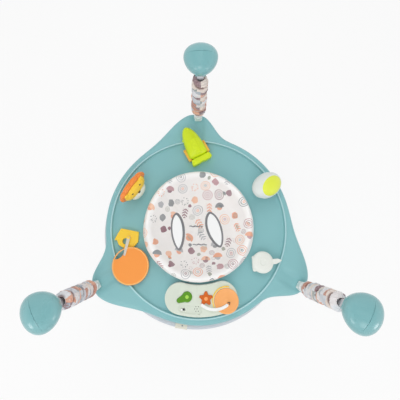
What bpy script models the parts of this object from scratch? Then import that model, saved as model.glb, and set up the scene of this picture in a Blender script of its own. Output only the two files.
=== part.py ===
# Baby activity jumper: a play tray and a turning seat hung by springs from three capped posts.
# Metres, +Z up. The front is -Y, and the origin is on the floor under the middle of the whole object.
# Written for Blender 4.5: blender --background --python part.py

import math

import bmesh
import bpy
from mathutils import Matrix, Vector

# Driving dimensions of the frame
RING_RADIUS = 0.350
RING_HEIGHT = 0.020
RING_TUBE_RADIUS = 0.011
RING_TUBE_WALL = 0.0012
RING_STEP_DEG = 6.5
POST_RADIUS = 0.0125
POST_WALL = 0.0014
FOOT_WIDTH = 0.072
FOOT_DEPTH = 0.046
FOOT_HEIGHT = 0.050
TUBE_STOP = 0.016
COUPLER_TURN_DEG = 260.8
COUPLER_LENGTH = 0.044
COUPLER_WALL = 0.0025

# Driving dimensions of the caps on the posts
CAP_RADIUS = 0.388
CAP_HEIGHT = 0.700
CAP_IN = 0.0435
CAP_OUT = 0.0425
CAP_HALF_WIDTH = 0.0440
CAP_TAPER = 0.13
CAP_UP = 0.037
CAP_DOWN = 0.040
CAP_WALL = 0.0025
CAP_SPLIT = 0.0095
POST_IN_CAP = 0.012
POST_OUT_IN_CAP = 0.0165
STRAP_BAR_RADIUS = 0.003
STRAP_BAR_IN = 0.022
STRAP_BAR_DROP = 0.010

# Driving dimensions of the straps, springs and sleeves
STRAP_WIDTH = 0.018
STRAP_THICKNESS = 0.003
STRAP_LOOP_WALL = 0.0028
SPRING_LENGTH = 0.168
SPRING_COIL_RADIUS = 0.012
SPRING_WIRE_RADIUS = 0.0013
SPRING_TURNS = 6
SLEEVE_BORE = 0.0150
SLEEVE_WAIST = 0.0188
SLEEVE_BULGE = 0.0228
SLEEVE_GATHERS = 12
SLEEVE_TOP_GAP = 0.046
HOOK_IN_FROM_CAP = 0.043
HOOK_EYE_RISE = 0.0405
HOOK_WIDTH = 0.022
HOOK_LENGTH = 0.024
HOOK_THICKNESS = 0.0132
HOOK_STEM = 0.0134

# Driving dimensions of the tray
TRAY_RADIUS = 0.279
LOBE_PAST_HOOK = 0.0115
LOBE_TURN_DEG = 1.5
LOBE_STEEP_DEG = 12.0
LOBE_SLOW_DEG = 17.6
GROOVE_DEPTH = 0.008
GROOVE_HALF_DEG = 2.4
GROOVE_BANK_DEG = 2.2
RIDGE_RADIUS = 0.260
RIDGE_RISE = 0.013
FLOOR_HEIGHT = 0.390
RIM_RISE = 0.0075
TRAY_WALL = 0.003
SKIRT_DROP = 0.038
TRAY_BOTTOM_THICKNESS = 0.0025
BOSS_RADIUS = 0.0055
BOSS_CIRCLE = 0.178
SCREW_RADIUS = 0.002
SCREW_HEAD_RADIUS = 0.0042
SCREW_HEAD_THICKNESS = 0.0024
SCREW_LENGTH = 0.020

# Driving dimensions of the seat
RACE_RADIUS = 0.1478
COLLAR_RISE = 0.008
RACE_DROP = 0.028
SEAT_WALL = 0.004
SEAT_FLANGE = 0.006
SEAT_FLANGE_THICKNESS = 0.0027
SEAT_RING_RISE = 0.036
SEAT_LIP = 0.0030
COVER_OUTER_RADIUS = 0.1576
COVER_THICKNESS = 0.0035
COVER_CROWN = 0.0070
SEAT_DEPTH = 0.165
COVER_LIP_DROP = 0.010
BUCKET_POWER = 0.60
SEAT_YAW_DEG = 10.5
LEG_HOLE_LENGTH = 0.118
LEG_HOLE_WIDTH = 0.050
LEG_HOLE_OFFSET = 0.055
LEG_HOLE_SPLAY_DEG = 10.0

# Driving dimensions of the sound console
CONSOLE_RADIUS = 0.2095
CONSOLE_HALF_WIDTH = 0.0430
CONSOLE_FROM_DEG = -105.2
CONSOLE_TO_DEG = -71.4
CONSOLE_HEIGHT = 0.0205
CONSOLE_WALL = 0.0024
FACE_THICKNESS = 0.003
BUTTON_RISE = 0.0035
BUTTON_TRAVEL = 0.0025
SPINNER_RADIUS = 0.0345
SPINNER_THICKNESS = 0.004
SWITCH_TRAVEL = 0.007
BATTERY_RADIUS = 0.0052
BATTERY_LENGTH = 0.0445

# Driving dimensions of the toys
PEG_RADIUS = 0.006
PEG_LENGTH = 0.011
JAW_LENGTH = 0.102
JAW_HALF_WIDTH = 0.0240
JAW_HEIGHT = 0.025
MANE_RADIUS = 0.053
MANE_THICKNESS = 0.014
MANE_TILT_DEG = -4.0
MANE_HEIGHT = 0.060
HOLDER_THICKNESS = 0.0105
DISC_RADIUS = 0.0535
DISC_THICKNESS = 0.007
TETHER_THICKNESS = 0.0025
WHALE_RADIUS = 0.031
WHALE_THICKNESS = 0.019
BALL_LONG = 0.046
BALL_SHORT = 0.038
BALL_HEIGHT = 0.048
BALL_FACE_PLANE = 0.024
BALL_FACE_TURN_DEG = -30.0
BALL_FACE_RISE_DEG = 60.0

# Clearances
TOUCH = 0.0003
POST_PLAY = 0.0006
RUN = 0.0008

# Where the three posts stand, as angles about the jumper's axis
POSTS = {"back": 90.0, "left": 210.0, "right": 330.0}

# Where each toy stands: X and Y from the jumper's axis, and the way it faces
TOYS = {
    "crocodile": (-0.0084, 0.2345, 119.3),
    "lion": (-0.1944, 0.1078, -35.0),
    "fruit": (-0.2050, -0.0360, 0.0),
    "whale": (0.1860, -0.1045, 3.6),
    "ball": (0.1990, 0.1160, 30.0),
}
PEAR_SPOT = (-0.0330, -0.1985)
STAR_SPOT = (0.0205, -0.2030)
SPINNER_SPOT = (0.0780, -0.2090)
SWITCH_SPOT = (-0.0441, -0.2320)
SPEAKER_SPOT = (-0.0045, -0.2305)
BATTERY_SPOT = (-0.0470, -0.2030)
BOARD_SPOT = (0.0370, -0.2080)

# Sizes that follow from the ones above
COUPLER_RADIUS = RING_TUBE_RADIUS + RUN + COUPLER_WALL
COUPLER_HALF_DEG = math.degrees(COUPLER_LENGTH / 2 / RING_RADIUS)
FRONT_REACH = max(
    RING_RADIUS + RING_TUBE_RADIUS,
    (RING_RADIUS + COUPLER_RADIUS) * math.cos(math.radians(270 - COUPLER_TURN_DEG - COUPLER_HALF_DEG)),
)
AXIS = Vector((0.0, (FRONT_REACH - CAP_RADIUS - CAP_OUT) / 2, 0.0))
POST_SLOPE = (CAP_RADIUS + POST_OUT_IN_CAP - RING_RADIUS) / (CAP_HEIGHT - RING_HEIGHT)
POST_LEAN = math.atan(POST_SLOPE)
HOOK_RADIUS = CAP_RADIUS - HOOK_IN_FROM_CAP
LOBE_REACH = HOOK_RADIUS + LOBE_PAST_HOOK - TRAY_RADIUS
RIM_HEIGHT = FLOOR_HEIGHT + RIM_RISE
GROOVE_FLOOR = RIM_HEIGHT - GROOVE_DEPTH
SKIRT_BOTTOM = FLOOR_HEIGHT - SKIRT_DROP
TRAY_BOTTOM_TOP = FLOOR_HEIGHT - RACE_DROP - TRAY_WALL
COLLAR_HEIGHT = FLOOR_HEIGHT + COLLAR_RISE
EYE = Vector((HOOK_RADIUS, 0.0, GROOVE_FLOOR + HOOK_EYE_RISE))
BAR = Vector((CAP_RADIUS - STRAP_BAR_IN, 0.0, CAP_HEIGHT - STRAP_BAR_DROP))
STRAP_LEAN = math.atan2(BAR.x - EYE.x, BAR.z - EYE.z)
STRAP_SPAN = (BAR - EYE).length
SEAT_TOP = COLLAR_HEIGHT + TOUCH + SEAT_RING_RISE
FACE_BOTTOM = TOUCH + CONSOLE_HEIGHT + TOUCH
FACE_TOP = FACE_BOTTOM + FACE_THICKNESS


# Materials

def linear(channel):
    """One sRGB channel, 0 to 255, as linear light."""
    value = channel / 255
    return value / 12.92 if value <= 0.04045 else ((value + 0.055) / 1.055) ** 2.4


def material(name, red, green, blue, roughness=0.4, metallic=0.0):
    """A Principled material of one sRGB colour."""
    made = bpy.data.materials.new(name)
    made.use_nodes = True
    shader = made.node_tree.nodes["Principled BSDF"]
    colour = (linear(red), linear(green), linear(blue), 1.0)
    shader.inputs["Base Color"].default_value = colour
    shader.inputs["Roughness"].default_value = roughness
    shader.inputs["Metallic"].default_value = metallic
    made.diffuse_color = colour
    return made


# Basic solids, each a new object with its mesh in the object's own frame

def new_object(name, data):
    """An object in the jumper's collection."""
    made = bpy.data.objects.new(name, data)
    GROUP.objects.link(made)
    return made


def from_bmesh(name, shape):
    """An object from a bmesh, with its faces turned outwards."""
    bmesh.ops.recalc_face_normals(shape, faces=shape.faces)
    mesh = bpy.data.meshes.new(name)
    shape.to_mesh(mesh)
    shape.free()
    return new_object(name, mesh)


def block(name, low, high, bevel=0.0, segments=1):
    """A box between two corners, with its edges bevelled by the given width."""
    shape = bmesh.new()
    bmesh.ops.create_cube(shape, size=1.0)
    size = [top - bottom for bottom, top in zip(low, high)]
    centre = [(top + bottom) / 2 for bottom, top in zip(low, high)]
    bmesh.ops.scale(shape, vec=size, verts=shape.verts)
    bmesh.ops.translate(shape, vec=centre, verts=shape.verts)
    if bevel:
        bmesh.ops.bevel(shape, geom=shape.edges[:], offset=bevel, segments=segments, profile=0.5, affect="EDGES")
    return from_bmesh(name, shape)


def rod(name, radius, start, end, sides=16, end_radius=None):
    """A round rod or cone between two points."""
    start = Vector(start)
    run = Vector(end) - start
    shape = bmesh.new()
    top = radius if end_radius is None else end_radius
    bmesh.ops.create_cone(
        shape, cap_ends=True, segments=sides, radius1=radius, radius2=top, depth=run.length)
    bmesh.ops.translate(shape, vec=(0, 0, run.length / 2), verts=shape.verts)
    turn = Vector((0, 0, 1)).rotation_difference(run).to_matrix().to_4x4()
    bmesh.ops.transform(shape, matrix=Matrix.Translation(start) @ turn, verts=shape.verts)
    return from_bmesh(name, shape)


def blob(name, centre, radii, segments=16, rings=10, form=None):
    """An ellipsoid, or what the form function makes of a point of the unit sphere."""
    shape = bmesh.new()
    bmesh.ops.create_uvsphere(shape, u_segments=segments, v_segments=rings, radius=1.0)
    for vert in shape.verts:
        point = form(vert.co) if form else Vector([c * r for c, r in zip(vert.co, radii)])
        vert.co = point + Vector(centre)
    return from_bmesh(name, shape)


def plate(name, outlines, low, high):
    """A flat plate of an outline, with any further outlines as holes, from one height to another."""
    curve = bpy.data.curves.new(name, "CURVE")
    curve.dimensions = "2D"
    curve.fill_mode = "BOTH"
    curve.extrude = (high - low) / 2
    for outline in outlines:
        line = curve.splines.new("POLY")
        line.points.add(len(outline) - 1)
        for spot, (x, y) in zip(line.points, outline):
            spot.co = (x, y, 0.0, 1.0)
        line.use_cyclic_u = True
    made = as_mesh(new_object(name, curve))
    made.data.transform(Matrix.Translation((0, 0, (low + high) / 2)))
    return made


def tube(name, points, radius, resolution=2, radii=None, twist="MINIMUM"):
    """A round tube along a line of points, with closed ends."""
    curve = bpy.data.curves.new(name, "CURVE")
    curve.dimensions = "3D"
    curve.twist_mode = twist
    curve.bevel_depth = radius
    curve.bevel_resolution = resolution
    curve.render_resolution_u = 0
    curve.use_fill_caps = True
    line = curve.splines.new("POLY")
    line.points.add(len(points) - 1)
    for index, spot in enumerate(points):
        line.points[index].co = (*spot, 1.0)
        line.points[index].radius = radii[index] / radius if radii else 1.0
    return as_mesh(new_object(name, curve))


def turned(name, profile, steps=40):
    """A closed profile of (radius, height) points turned about Z."""
    mesh = bpy.data.meshes.new(name)
    count = len(profile)
    mesh.from_pydata(
        [(radius, 0.0, height) for radius, height in profile],
        [(index, (index + 1) % count) for index in range(count)], [])
    made = new_object(name, mesh)
    screw = made.modifiers.new("Turn", "SCREW")
    screw.steps = steps
    screw.render_steps = steps
    screw.use_merge_vertices = True
    screw.merge_threshold = 0.00005
    return worked(made)


def skinned(name, sections):
    """A ring-shaped solid through closed sections that follow one another round."""
    shape = bmesh.new()
    rows = [[shape.verts.new(point) for point in section] for section in sections]
    for row, following in zip(rows, rows[1:] + rows[:1]):
        for index in range(len(row)):
            after = (index + 1) % len(row)
            shape.faces.new((row[index], row[after], following[after], following[index]))
    return from_bmesh(name, shape)


# Work on solids

def worked(made):
    """The object with its modifiers worked into a mesh of its own."""
    graph = bpy.context.evaluated_depsgraph_get()
    mesh = bpy.data.meshes.new_from_object(made.evaluated_get(graph))
    made.modifiers.clear()
    made.data = mesh
    shape = bmesh.new()
    shape.from_mesh(mesh)
    bmesh.ops.remove_doubles(shape, verts=shape.verts, dist=0.000005)
    bmesh.ops.recalc_face_normals(shape, faces=shape.faces)
    shape.to_mesh(mesh)
    shape.free()
    return made


def as_mesh(made):
    """A curve object remade as a mesh object, its caps welded."""
    graph = bpy.context.evaluated_depsgraph_get()
    mesh = bpy.data.meshes.new_from_object(made.evaluated_get(graph))
    name = made.name
    matrix = made.matrix_world.copy()
    bpy.data.objects.remove(made)
    remade = new_object(name, mesh)
    remade.matrix_world = matrix
    return worked(remade)


def boolean(body, tools, operation):
    """The body with the tools cut away from it or joined to it."""
    for tool in tools:
        change = body.modifiers.new(tool.name, "BOOLEAN")
        change.operation = operation
        change.solver = "EXACT"
        change.object = tool
    worked(body)
    for tool in tools:
        bpy.data.objects.remove(tool)
    return body


def cut(body, *tools):
    """The body less the tools."""
    return boolean(body, tools, "DIFFERENCE")


def join(body, *tools):
    """The body and the tools as one solid."""
    return boolean(body, tools, "UNION")


def moved(made, matrix):
    """The object with its mesh moved within its own frame."""
    made.data.transform(matrix)
    return made


def smooth(mesh):
    """Round faces shade smooth, and edges over 35 degrees stay sharp."""
    mesh.shade_smooth()
    mesh.set_sharp_from_angle(angle=math.radians(35))


def finish(made, look, location=(0, 0, 0), rotation=(0, 0, 0), parent=None):
    """Gives a finished piece its material and its place."""
    if not made.data.materials:
        made.data.materials.append(look)
        smooth(made.data)
    made.location = location
    made.rotation_euler = rotation
    made.parent = parent
    return made


def around(name, made, look, spot, lean=0.0):
    """One copy of a piece at each post, from a spot in the plane of the axis and that post."""
    mesh = made.data
    bpy.data.objects.remove(made)
    for side, angle in POSTS.items():
        turn = Matrix.Rotation(math.radians(angle), 4, "Z")
        copy = new_object(f"{name}_{side}", mesh)
        finish(copy, look, AXIS + turn @ Vector(spot), (0.0, lean, math.radians(angle)))


def stand(name, x, y, facing=0.0, height=FLOOR_HEIGHT):
    """An empty on the tray that carries the pieces of one toy or the console."""
    made = new_object(name, None)
    made.empty_display_size = 0.02
    made.location = AXIS + Vector((x, y, height))
    made.rotation_euler = (0.0, 0.0, math.radians(facing))
    return made


def arc(centre, radius, start_deg, end_deg, count):
    """Points along an arc, both ends counted."""
    step = (end_deg - start_deg) / (count - 1)
    angles = [math.radians(start_deg + step * index) for index in range(count)]
    return [(centre[0] + radius * math.cos(a), centre[1] + radius * math.sin(a)) for a in angles]


# Base ring, feet and posts

def ring_arc(name, start_deg, end_deg, radius, wall=0.0, sides=1):
    """A length of tube along the base ring, solid or with its bore."""
    count = max(3, round(abs(end_deg - start_deg) / RING_STEP_DEG) + 1)
    points = [(x, y, RING_HEIGHT) for x, y in arc((0, 0), RING_RADIUS, start_deg, end_deg, count)]
    made = tube(name, points, radius, twist="Z_UP")
    if wall:
        over = (end_deg - start_deg) * 0.01
        bore = [(x, y, RING_HEIGHT)
                for x, y in arc((0, 0), RING_RADIUS, start_deg - over, end_deg + over, count)]
        cut(made, tube("bore", bore, radius - wall, resolution=sides, twist="Z_UP"))
    return made


def make_base():
    """The ring of tubes on the floor, its coupler, the feet and the posts."""
    stop = math.degrees(TUBE_STOP / RING_RADIUS)
    runs = {
        "base_tube_left": (POSTS["back"] + stop, POSTS["left"] - stop),
        "base_tube_front": (POSTS["left"] + stop, POSTS["right"] - stop),
        "base_tube_right": (POSTS["right"] + stop, POSTS["back"] + 360 - stop),
    }
    for name, (start, end) in runs.items():
        finish(ring_arc(name, start, end, RING_TUBE_RADIUS, RING_TUBE_WALL), PALE_METAL, AXIS)

    coupler = ring_arc(
        "base_coupler", COUPLER_TURN_DEG - COUPLER_HALF_DEG, COUPLER_TURN_DEG + COUPLER_HALF_DEG,
        COUPLER_RADIUS, COUPLER_WALL, sides=2)
    finish(coupler, CREAM, AXIS)

    foot = block(
        "foot", (RING_RADIUS - FOOT_DEPTH / 2, -FOOT_WIDTH / 2, 0.0),
        (RING_RADIUS + FOOT_DEPTH / 2, FOOT_WIDTH / 2, FOOT_HEIGHT), bevel=0.006)
    slope = Vector((POST_SLOPE, 0, 1))
    base = Vector((RING_RADIUS, 0, RING_HEIGHT))
    socket = rod(
        "socket", POST_RADIUS + POST_PLAY, base - slope * (RING_HEIGHT - post_end() + TOUCH),
        base + slope * 0.06, sides=16)
    holes = [ring_arc("hole", side * stop * 0.98, side * stop * 4, RING_TUBE_RADIUS + RUN) for side in (1, -1)]
    around("foot", cut(foot, socket, *holes), TEAL, (0, 0, 0))

    length = (CAP_HEIGHT + POST_IN_CAP - post_end()) / math.cos(POST_LEAN)
    post = rod("post", POST_RADIUS, (0, 0, 0), (0, 0, length), sides=16)
    cut(post, rod("bore", POST_RADIUS - POST_WALL, (0, 0, -0.01), (0, 0, length + 0.01), sides=12))
    start = RING_RADIUS + (post_end() - RING_HEIGHT) * POST_SLOPE
    around("post", post, PALE_METAL, (start, 0, post_end()), POST_LEAN)


def post_end():
    """The height of the posts' lower ends in the feet."""
    return RING_HEIGHT - RING_TUBE_RADIUS + 0.002


def polar(radius, angle_deg):
    """A point of the plane at a radius and an angle."""
    angle = math.radians(angle_deg)
    return radius * math.cos(angle), radius * math.sin(angle)


# Caps

def egg(name, wall):
    """The cap's egg shape, drawn in by a wall."""
    def form(point):
        reach = (CAP_OUT if point.x > 0 else CAP_IN) - wall
        rise = (CAP_UP if point.z > 0 else CAP_DOWN) - wall
        width = (CAP_HALF_WIDTH - wall) * (1 + CAP_TAPER * point.x)
        return Vector((point.x * reach, point.y * width, point.z * rise))
    segments, rings = (12, 6) if wall else (16, 8)
    return blob(name, (0, 0, 0), None, segments=segments, rings=rings, form=form)


def make_caps():
    """The two shells of each cap, clamped on the post, with the bar that carries the strap."""
    bar = BAR - Vector((CAP_RADIUS, 0, CAP_HEIGHT))
    along = Vector((math.sin(STRAP_LEAN), 0, math.cos(STRAP_LEAN)))
    big = 0.1
    for name, low, high in (
            ("cap_inner", CAP_SPLIT - TOUCH / 2, big), ("cap_outer", -big, CAP_SPLIT + TOUCH / 2)):
        half = block("half", (low, -big, -big), (high, big, big))
        slope = Vector((POST_SLOPE, 0, 1))
        seat = Vector((POST_OUT_IN_CAP, 0, 0))
        hole = rod("hole", POST_RADIUS + POST_PLAY, seat - slope * 0.06, seat + slope * (POST_IN_CAP + 0.002), sides=16)
        shell = cut(egg(name, 0.0), half, egg("hollow", CAP_WALL), hole)
        if name == "cap_inner":
            slot = block(
                "slot", (-0.0035, -STRAP_WIDTH / 2 - 0.0015, -0.05), (0.0035, STRAP_WIDTH / 2 + 0.0015, 0.0))
            moved(slot, Matrix.Translation(bar - along * 0.014) @ Matrix.Rotation(STRAP_LEAN, 4, "Y"))
            cut(shell, slot)
            u, w = bar.x / CAP_IN, bar.z / CAP_DOWN
            reach = CAP_HALF_WIDTH * (1 + CAP_TAPER * u) * math.sqrt(1 - u * u - w * w) - CAP_WALL * 0.55
            ends = [bar + Vector((0, side * reach, 0)) for side in (-1, 1)]
            join(shell, rod("bar", STRAP_BAR_RADIUS, *ends, sides=12))
        around(name, shell, TEAL, (CAP_RADIUS, 0, CAP_HEIGHT))


# Straps, springs, sleeves and hooks. Their own frame starts at the hook's eye and runs up the strap.

def make_straps():
    """The webbing strap with a loop at each end: on the cap's bar and on the spring."""
    lower = SPRING_WIRE_RADIUS + RUN
    upper = STRAP_BAR_RADIUS + TOUCH
    half = STRAP_THICKNESS / 2
    outline = []
    for centre, radius, start in (
            (SPRING_LENGTH, lower + STRAP_LOOP_WALL, 90), (STRAP_SPAN, upper + STRAP_LOOP_WALL, -90)):
        shy = math.degrees(math.asin(half / radius))
        outline += arc((0, centre), radius, start + shy, start + 360 - shy, 11)
    holes = [ring((0, SPRING_LENGTH), lower, 10), ring((0, STRAP_SPAN), upper, 10)]
    strap = plate("strap", [outline, *holes], -STRAP_WIDTH / 2, STRAP_WIDTH / 2)
    moved(strap, Matrix.Rotation(math.radians(90), 4, "X"))
    around("strap", strap, WEBBING, EYE, STRAP_LEAN)


def make_springs():
    """The coil between hook and strap, its ends bent across through the eye and the loop."""
    reach = SPRING_COIL_RADIUS
    points = [(0.0, -reach, 0.0)]
    for step in range(SPRING_TURNS * 8 + 1):
        x, y = polar(reach, 90 + step * 45)
        points.append((x, y, SPRING_LENGTH * step / (SPRING_TURNS * 8)))
    points.append((0.0, -reach, SPRING_LENGTH))
    around("spring", tube("spring", points, SPRING_WIRE_RADIUS, resolution=1), STEEL, EYE, STRAP_LEAN)
    print("Least gap between spring turns, mm:", round(spring_gap(points) * 1000, 2))


def spring_gap(points):
    """The least gap of the wire to itself, between points over half a turn apart."""
    spots = [Vector(point) for point in points]
    gaps = [
        (first - second).length
        for index, first in enumerate(spots) for second in spots[index + 5:]
    ]
    return min(gaps) - 2 * SPRING_WIRE_RADIUS


def make_sleeves():
    """The gathered fabric sleeve round each spring, with its bore."""
    low = -HOOK_EYE_RISE + HOOK_THICKNESS + 0.006
    high = STRAP_SPAN - SLEEVE_TOP_GAP
    count = SLEEVE_GATHERS * 2 + 1
    points = []
    radii = []
    for index in range(count):
        sway = 0.0007
        points.append((
            sway * math.sin(2.3 * index), sway * math.cos(1.9 * index),
            low + (high - low) * index / (count - 1)))
        swell = SLEEVE_BULGE + 0.0012 * math.sin(1.7 * index)
        radii.append(swell if index % 2 else SLEEVE_WAIST)
    sleeve = tube("sleeve", points, SLEEVE_BULGE, radii=radii)
    cut(sleeve, rod("bore", SLEEVE_BORE, (0, 0, low - 0.01), (0, 0, high + 0.01), sides=12))
    around("sleeve", sleeve, PRINT_FABRIC, EYE, STRAP_LEAN)


def make_hooks():
    """The hook block in each tray lobe: stem, collar for the sleeve and eye for the spring."""
    along = Vector((math.sin(STRAP_LEAN), 0, math.cos(STRAP_LEAN)))
    low = EYE.z - GROOVE_FLOOR
    foot = -low + TOUCH
    top = foot + HOOK_THICKNESS
    centre = -along.x * low
    hook = block(
        "strap_hook", (centre - HOOK_LENGTH / 2, -HOOK_WIDTH / 2, foot),
        (centre + HOOK_LENGTH / 2, HOOK_WIDTH / 2, top), bevel=0.002)
    stem = block(
        "stem", (centre - HOOK_STEM / 2, -HOOK_STEM / 2, foot - 0.014),
        (centre + HOOK_STEM / 2, HOOK_STEM / 2, foot + 0.004))
    collar = rod("collar", SLEEVE_BORE * math.cos(math.radians(15)) - TOUCH, along * (top - 0.003), along * -0.012)
    eye = block("eye", (-0.0055, -0.003, -0.016), (0.0055, 0.003, 0.0055), bevel=0.001)
    moved(eye, Matrix.Rotation(STRAP_LEAN, 4, "Y"))
    hole = rod("hole", SPRING_WIRE_RADIUS + RUN, (0, -0.01, 0), (0, 0.01, 0), sides=12)
    around("strap_hook", cut(join(hook, stem, collar, eye), hole), PALE_PLASTIC, EYE)


# Tray

def lobe(turn):
    """How far the tray's edge swells towards a post, 0 to 1, at a turn in degrees off that post."""
    off = turn - LOBE_TURN_DEG
    if off > 0:
        return math.exp(-((off / LOBE_SLOW_DEG) ** 1.9))
    return math.exp(-((-off / LOBE_STEEP_DEG) ** 2.4))


def tray_turns():
    """The angles of the tray's sections, close together at the lobes, with the turn off the post."""
    half = (GROOVE_HALF_DEG, GROOVE_HALF_DEG + GROOVE_BANK_DEG, 9.0, 15.0, 23.0, 33.0, 43.8, 54.6)
    offsets = [-turn for turn in reversed(half)] + list(half)
    return [(post + offset, offset) for post in POSTS.values() for offset in offsets]


def tray_edge(turn):
    """The tray's edge radius at a turn off the post."""
    return TRAY_RADIUS + LOBE_REACH * lobe(turn)


def ring_points(angle, section):
    """A section of (radius, height) points stood up at an angle about the axis."""
    return [(*polar(radius, angle), height) for radius, height in section]


def make_tray():
    """The tray's top shell, its underside, the screws and the bosses that they go into."""
    sections = []
    floors = []
    for angle, turn in tray_turns():
        edge = tray_edge(turn)
        bank = (abs(turn) - GROOVE_HALF_DEG) / GROOVE_BANK_DEG
        groove = GROOVE_DEPTH * min(1.0, max(0.0, 1.0 - bank))
        middle = (RIDGE_RADIUS + edge) / 2
        crown = RIM_HEIGHT - groove
        under = FLOOR_HEIGHT - TRAY_WALL
        rim_in = RIDGE_RADIUS + 0.0035
        rim_out = edge - 0.006
        inner = RACE_RADIUS + TRAY_WALL * 0.8
        section = [
            (edge + 0.0015, SKIRT_BOTTOM), (edge, RIM_HEIGHT - 0.007 - groove / 2), (rim_out, crown),
            (middle, crown), (rim_in, RIM_HEIGHT), (RIDGE_RADIUS, FLOOR_HEIGHT + RIDGE_RISE),
            (RIDGE_RADIUS - 0.004, FLOOR_HEIGHT), (RACE_RADIUS + 0.0135, FLOOR_HEIGHT),
            (RACE_RADIUS + 0.0065, COLLAR_HEIGHT), (RACE_RADIUS, COLLAR_HEIGHT),
            (RACE_RADIUS, FLOOR_HEIGHT - RACE_DROP), (inner, FLOOR_HEIGHT - RACE_DROP),
            (inner, under), (RIDGE_RADIUS - 0.0025, under),
            (rim_in, RIM_HEIGHT - TRAY_WALL), (middle, crown - TRAY_WALL), (rim_out - 0.001, crown - TRAY_WALL),
            (edge - TRAY_WALL * 0.8, RIM_HEIGHT - 0.009 - groove / 2), (edge - 0.001, SKIRT_BOTTOM),
        ]
        sections.append(ring_points(angle, section))
        out = edge - TRAY_WALL * 0.8 - 0.001
        floor = TRAY_BOTTOM_TOP - TRAY_BOTTOM_THICKNESS
        floors.append(ring_points(angle, [
            (out, floor), (out, TRAY_BOTTOM_TOP), (inner + RUN, TRAY_BOTTOM_TOP), (inner + RUN, floor)]))
    top = skinned("tray_top", sections)
    bottom = skinned("tray_bottom", floors)

    spots = [polar(BOSS_CIRCLE, angle) for angle in POSTS.values()]
    joint = (FLOOR_HEIGHT - TRAY_WALL * 0.5)
    bosses = [rod("boss", BOSS_RADIUS, (x, y, TRAY_BOTTOM_TOP + TOUCH), (x, y, joint), sides=10) for x, y in spots]
    join(top, *bosses)
    low = TRAY_BOTTOM_TOP - TRAY_BOTTOM_THICKNESS - TOUCH
    end = low + SCREW_LENGTH
    bores = [
        rod("bore", SCREW_RADIUS + TOUCH, (x, y, low), (x, y, end + RUN), sides=8) for x, y in spots]
    pegs = [
        rod("peg", PEG_RADIUS + TOUCH, (x, y, FLOOR_HEIGHT - 0.01), (x, y, FLOOR_HEIGHT + 0.01), sides=12)
        for x, y, facing in TOYS.values()]
    stems = []
    reach = HOOK_STEM / 2 + TOUCH
    centre = HOOK_RADIUS - math.tan(STRAP_LEAN) * (EYE.z - GROOVE_FLOOR) * math.cos(STRAP_LEAN)
    for angle in POSTS.values():
        stem = block("stem", (centre - reach, -reach, RIM_HEIGHT - 0.02), (centre + reach, reach, RIM_HEIGHT))
        stems.append(moved(stem, Matrix.Rotation(math.radians(angle), 4, "Z")))
    finish(cut(top, *bores, *pegs, *stems), TEAL, AXIS)

    holes = [rod("hole", SCREW_RADIUS + TOUCH, (x, y, low - 0.01), (x, y, end), sides=8) for x, y in spots]
    finish(cut(bottom, *holes), TEAL, AXIS)

    shank = rod("shank", SCREW_RADIUS, (0, 0, -0.001), (0, 0, SCREW_LENGTH), sides=8)
    head = rod("head", SCREW_HEAD_RADIUS, (0, 0, -SCREW_HEAD_THICKNESS), (0, 0, 0), sides=10)
    around("tray_screw", join(shank, head), STEEL, (BOSS_CIRCLE, 0, low))


# Seat

def make_seat_ring():
    """The ring that turns in the tray's race and carries the fabric."""
    outer = RACE_RADIUS - RUN
    inner = outer - SEAT_WALL
    low = FLOOR_HEIGHT - RACE_DROP - RUN
    lip = outer + SEAT_LIP
    flange = outer + SEAT_FLANGE
    rest = COLLAR_HEIGHT + TOUCH
    profile = [
        (inner, SEAT_TOP), (outer, SEAT_TOP), (outer, rest + SEAT_FLANGE_THICKNESS),
        (flange, rest + SEAT_FLANGE_THICKNESS), (flange, rest), (outer, rest), (outer, low),
        (lip, low), (lip, low - 0.0025), (inner, low - 0.0025),
    ]
    finish(turned("seat_ring", profile, steps=28), CREAM, AXIS)


def cover_profile():
    """The fabric's showing side, from its outer hem over the ring and down to the crotch."""
    outer = COVER_OUTER_RADIUS
    inner = RACE_RADIUS - RUN - SEAT_WALL - COVER_THICKNESS - TOUCH * 2
    hem = COLLAR_HEIGHT + 0.001
    top = SEAT_TOP + COVER_CROWN
    middle = (outer + inner) / 2
    bottom = top - SEAT_DEPTH
    rim = [
        (outer, hem), (outer + 0.0006, hem + 0.018), (outer - 0.002, top - 0.009), (middle + 0.004, top - 0.001),
        (middle - 0.003, top), (inner + 0.0005, top - COVER_LIP_DROP),
    ]
    bowl = []
    for depth in (0.14, 0.32, 0.52, 0.71, 0.87, 0.97):
        radius = inner * (1 - depth) ** BUCKET_POWER
        bowl.append((radius, top - COVER_LIP_DROP - (SEAT_DEPTH - COVER_LIP_DROP) * depth))
    return rim, bowl, bottom


def leg_hole(side):
    """An upright cutter of the leg hole's teardrop outline, blunt towards the back."""
    points = []
    for step in range(18):
        angle = math.radians(step * 20)
        along = math.sin(angle)
        width = LEG_HOLE_WIDTH / 2 * (1 + 0.25 * along)
        points.append((width * math.cos(angle), LEG_HOLE_LENGTH / 2 * along))
    hole = plate("leg_hole", [points], 0.15, SEAT_TOP - 0.03)
    turn = Matrix.Rotation(math.radians(side * LEG_HOLE_SPLAY_DEG), 4, "Z")
    return moved(hole, Matrix.Translation((side * LEG_HOLE_OFFSET, -0.010, 0)) @ turn)


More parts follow.
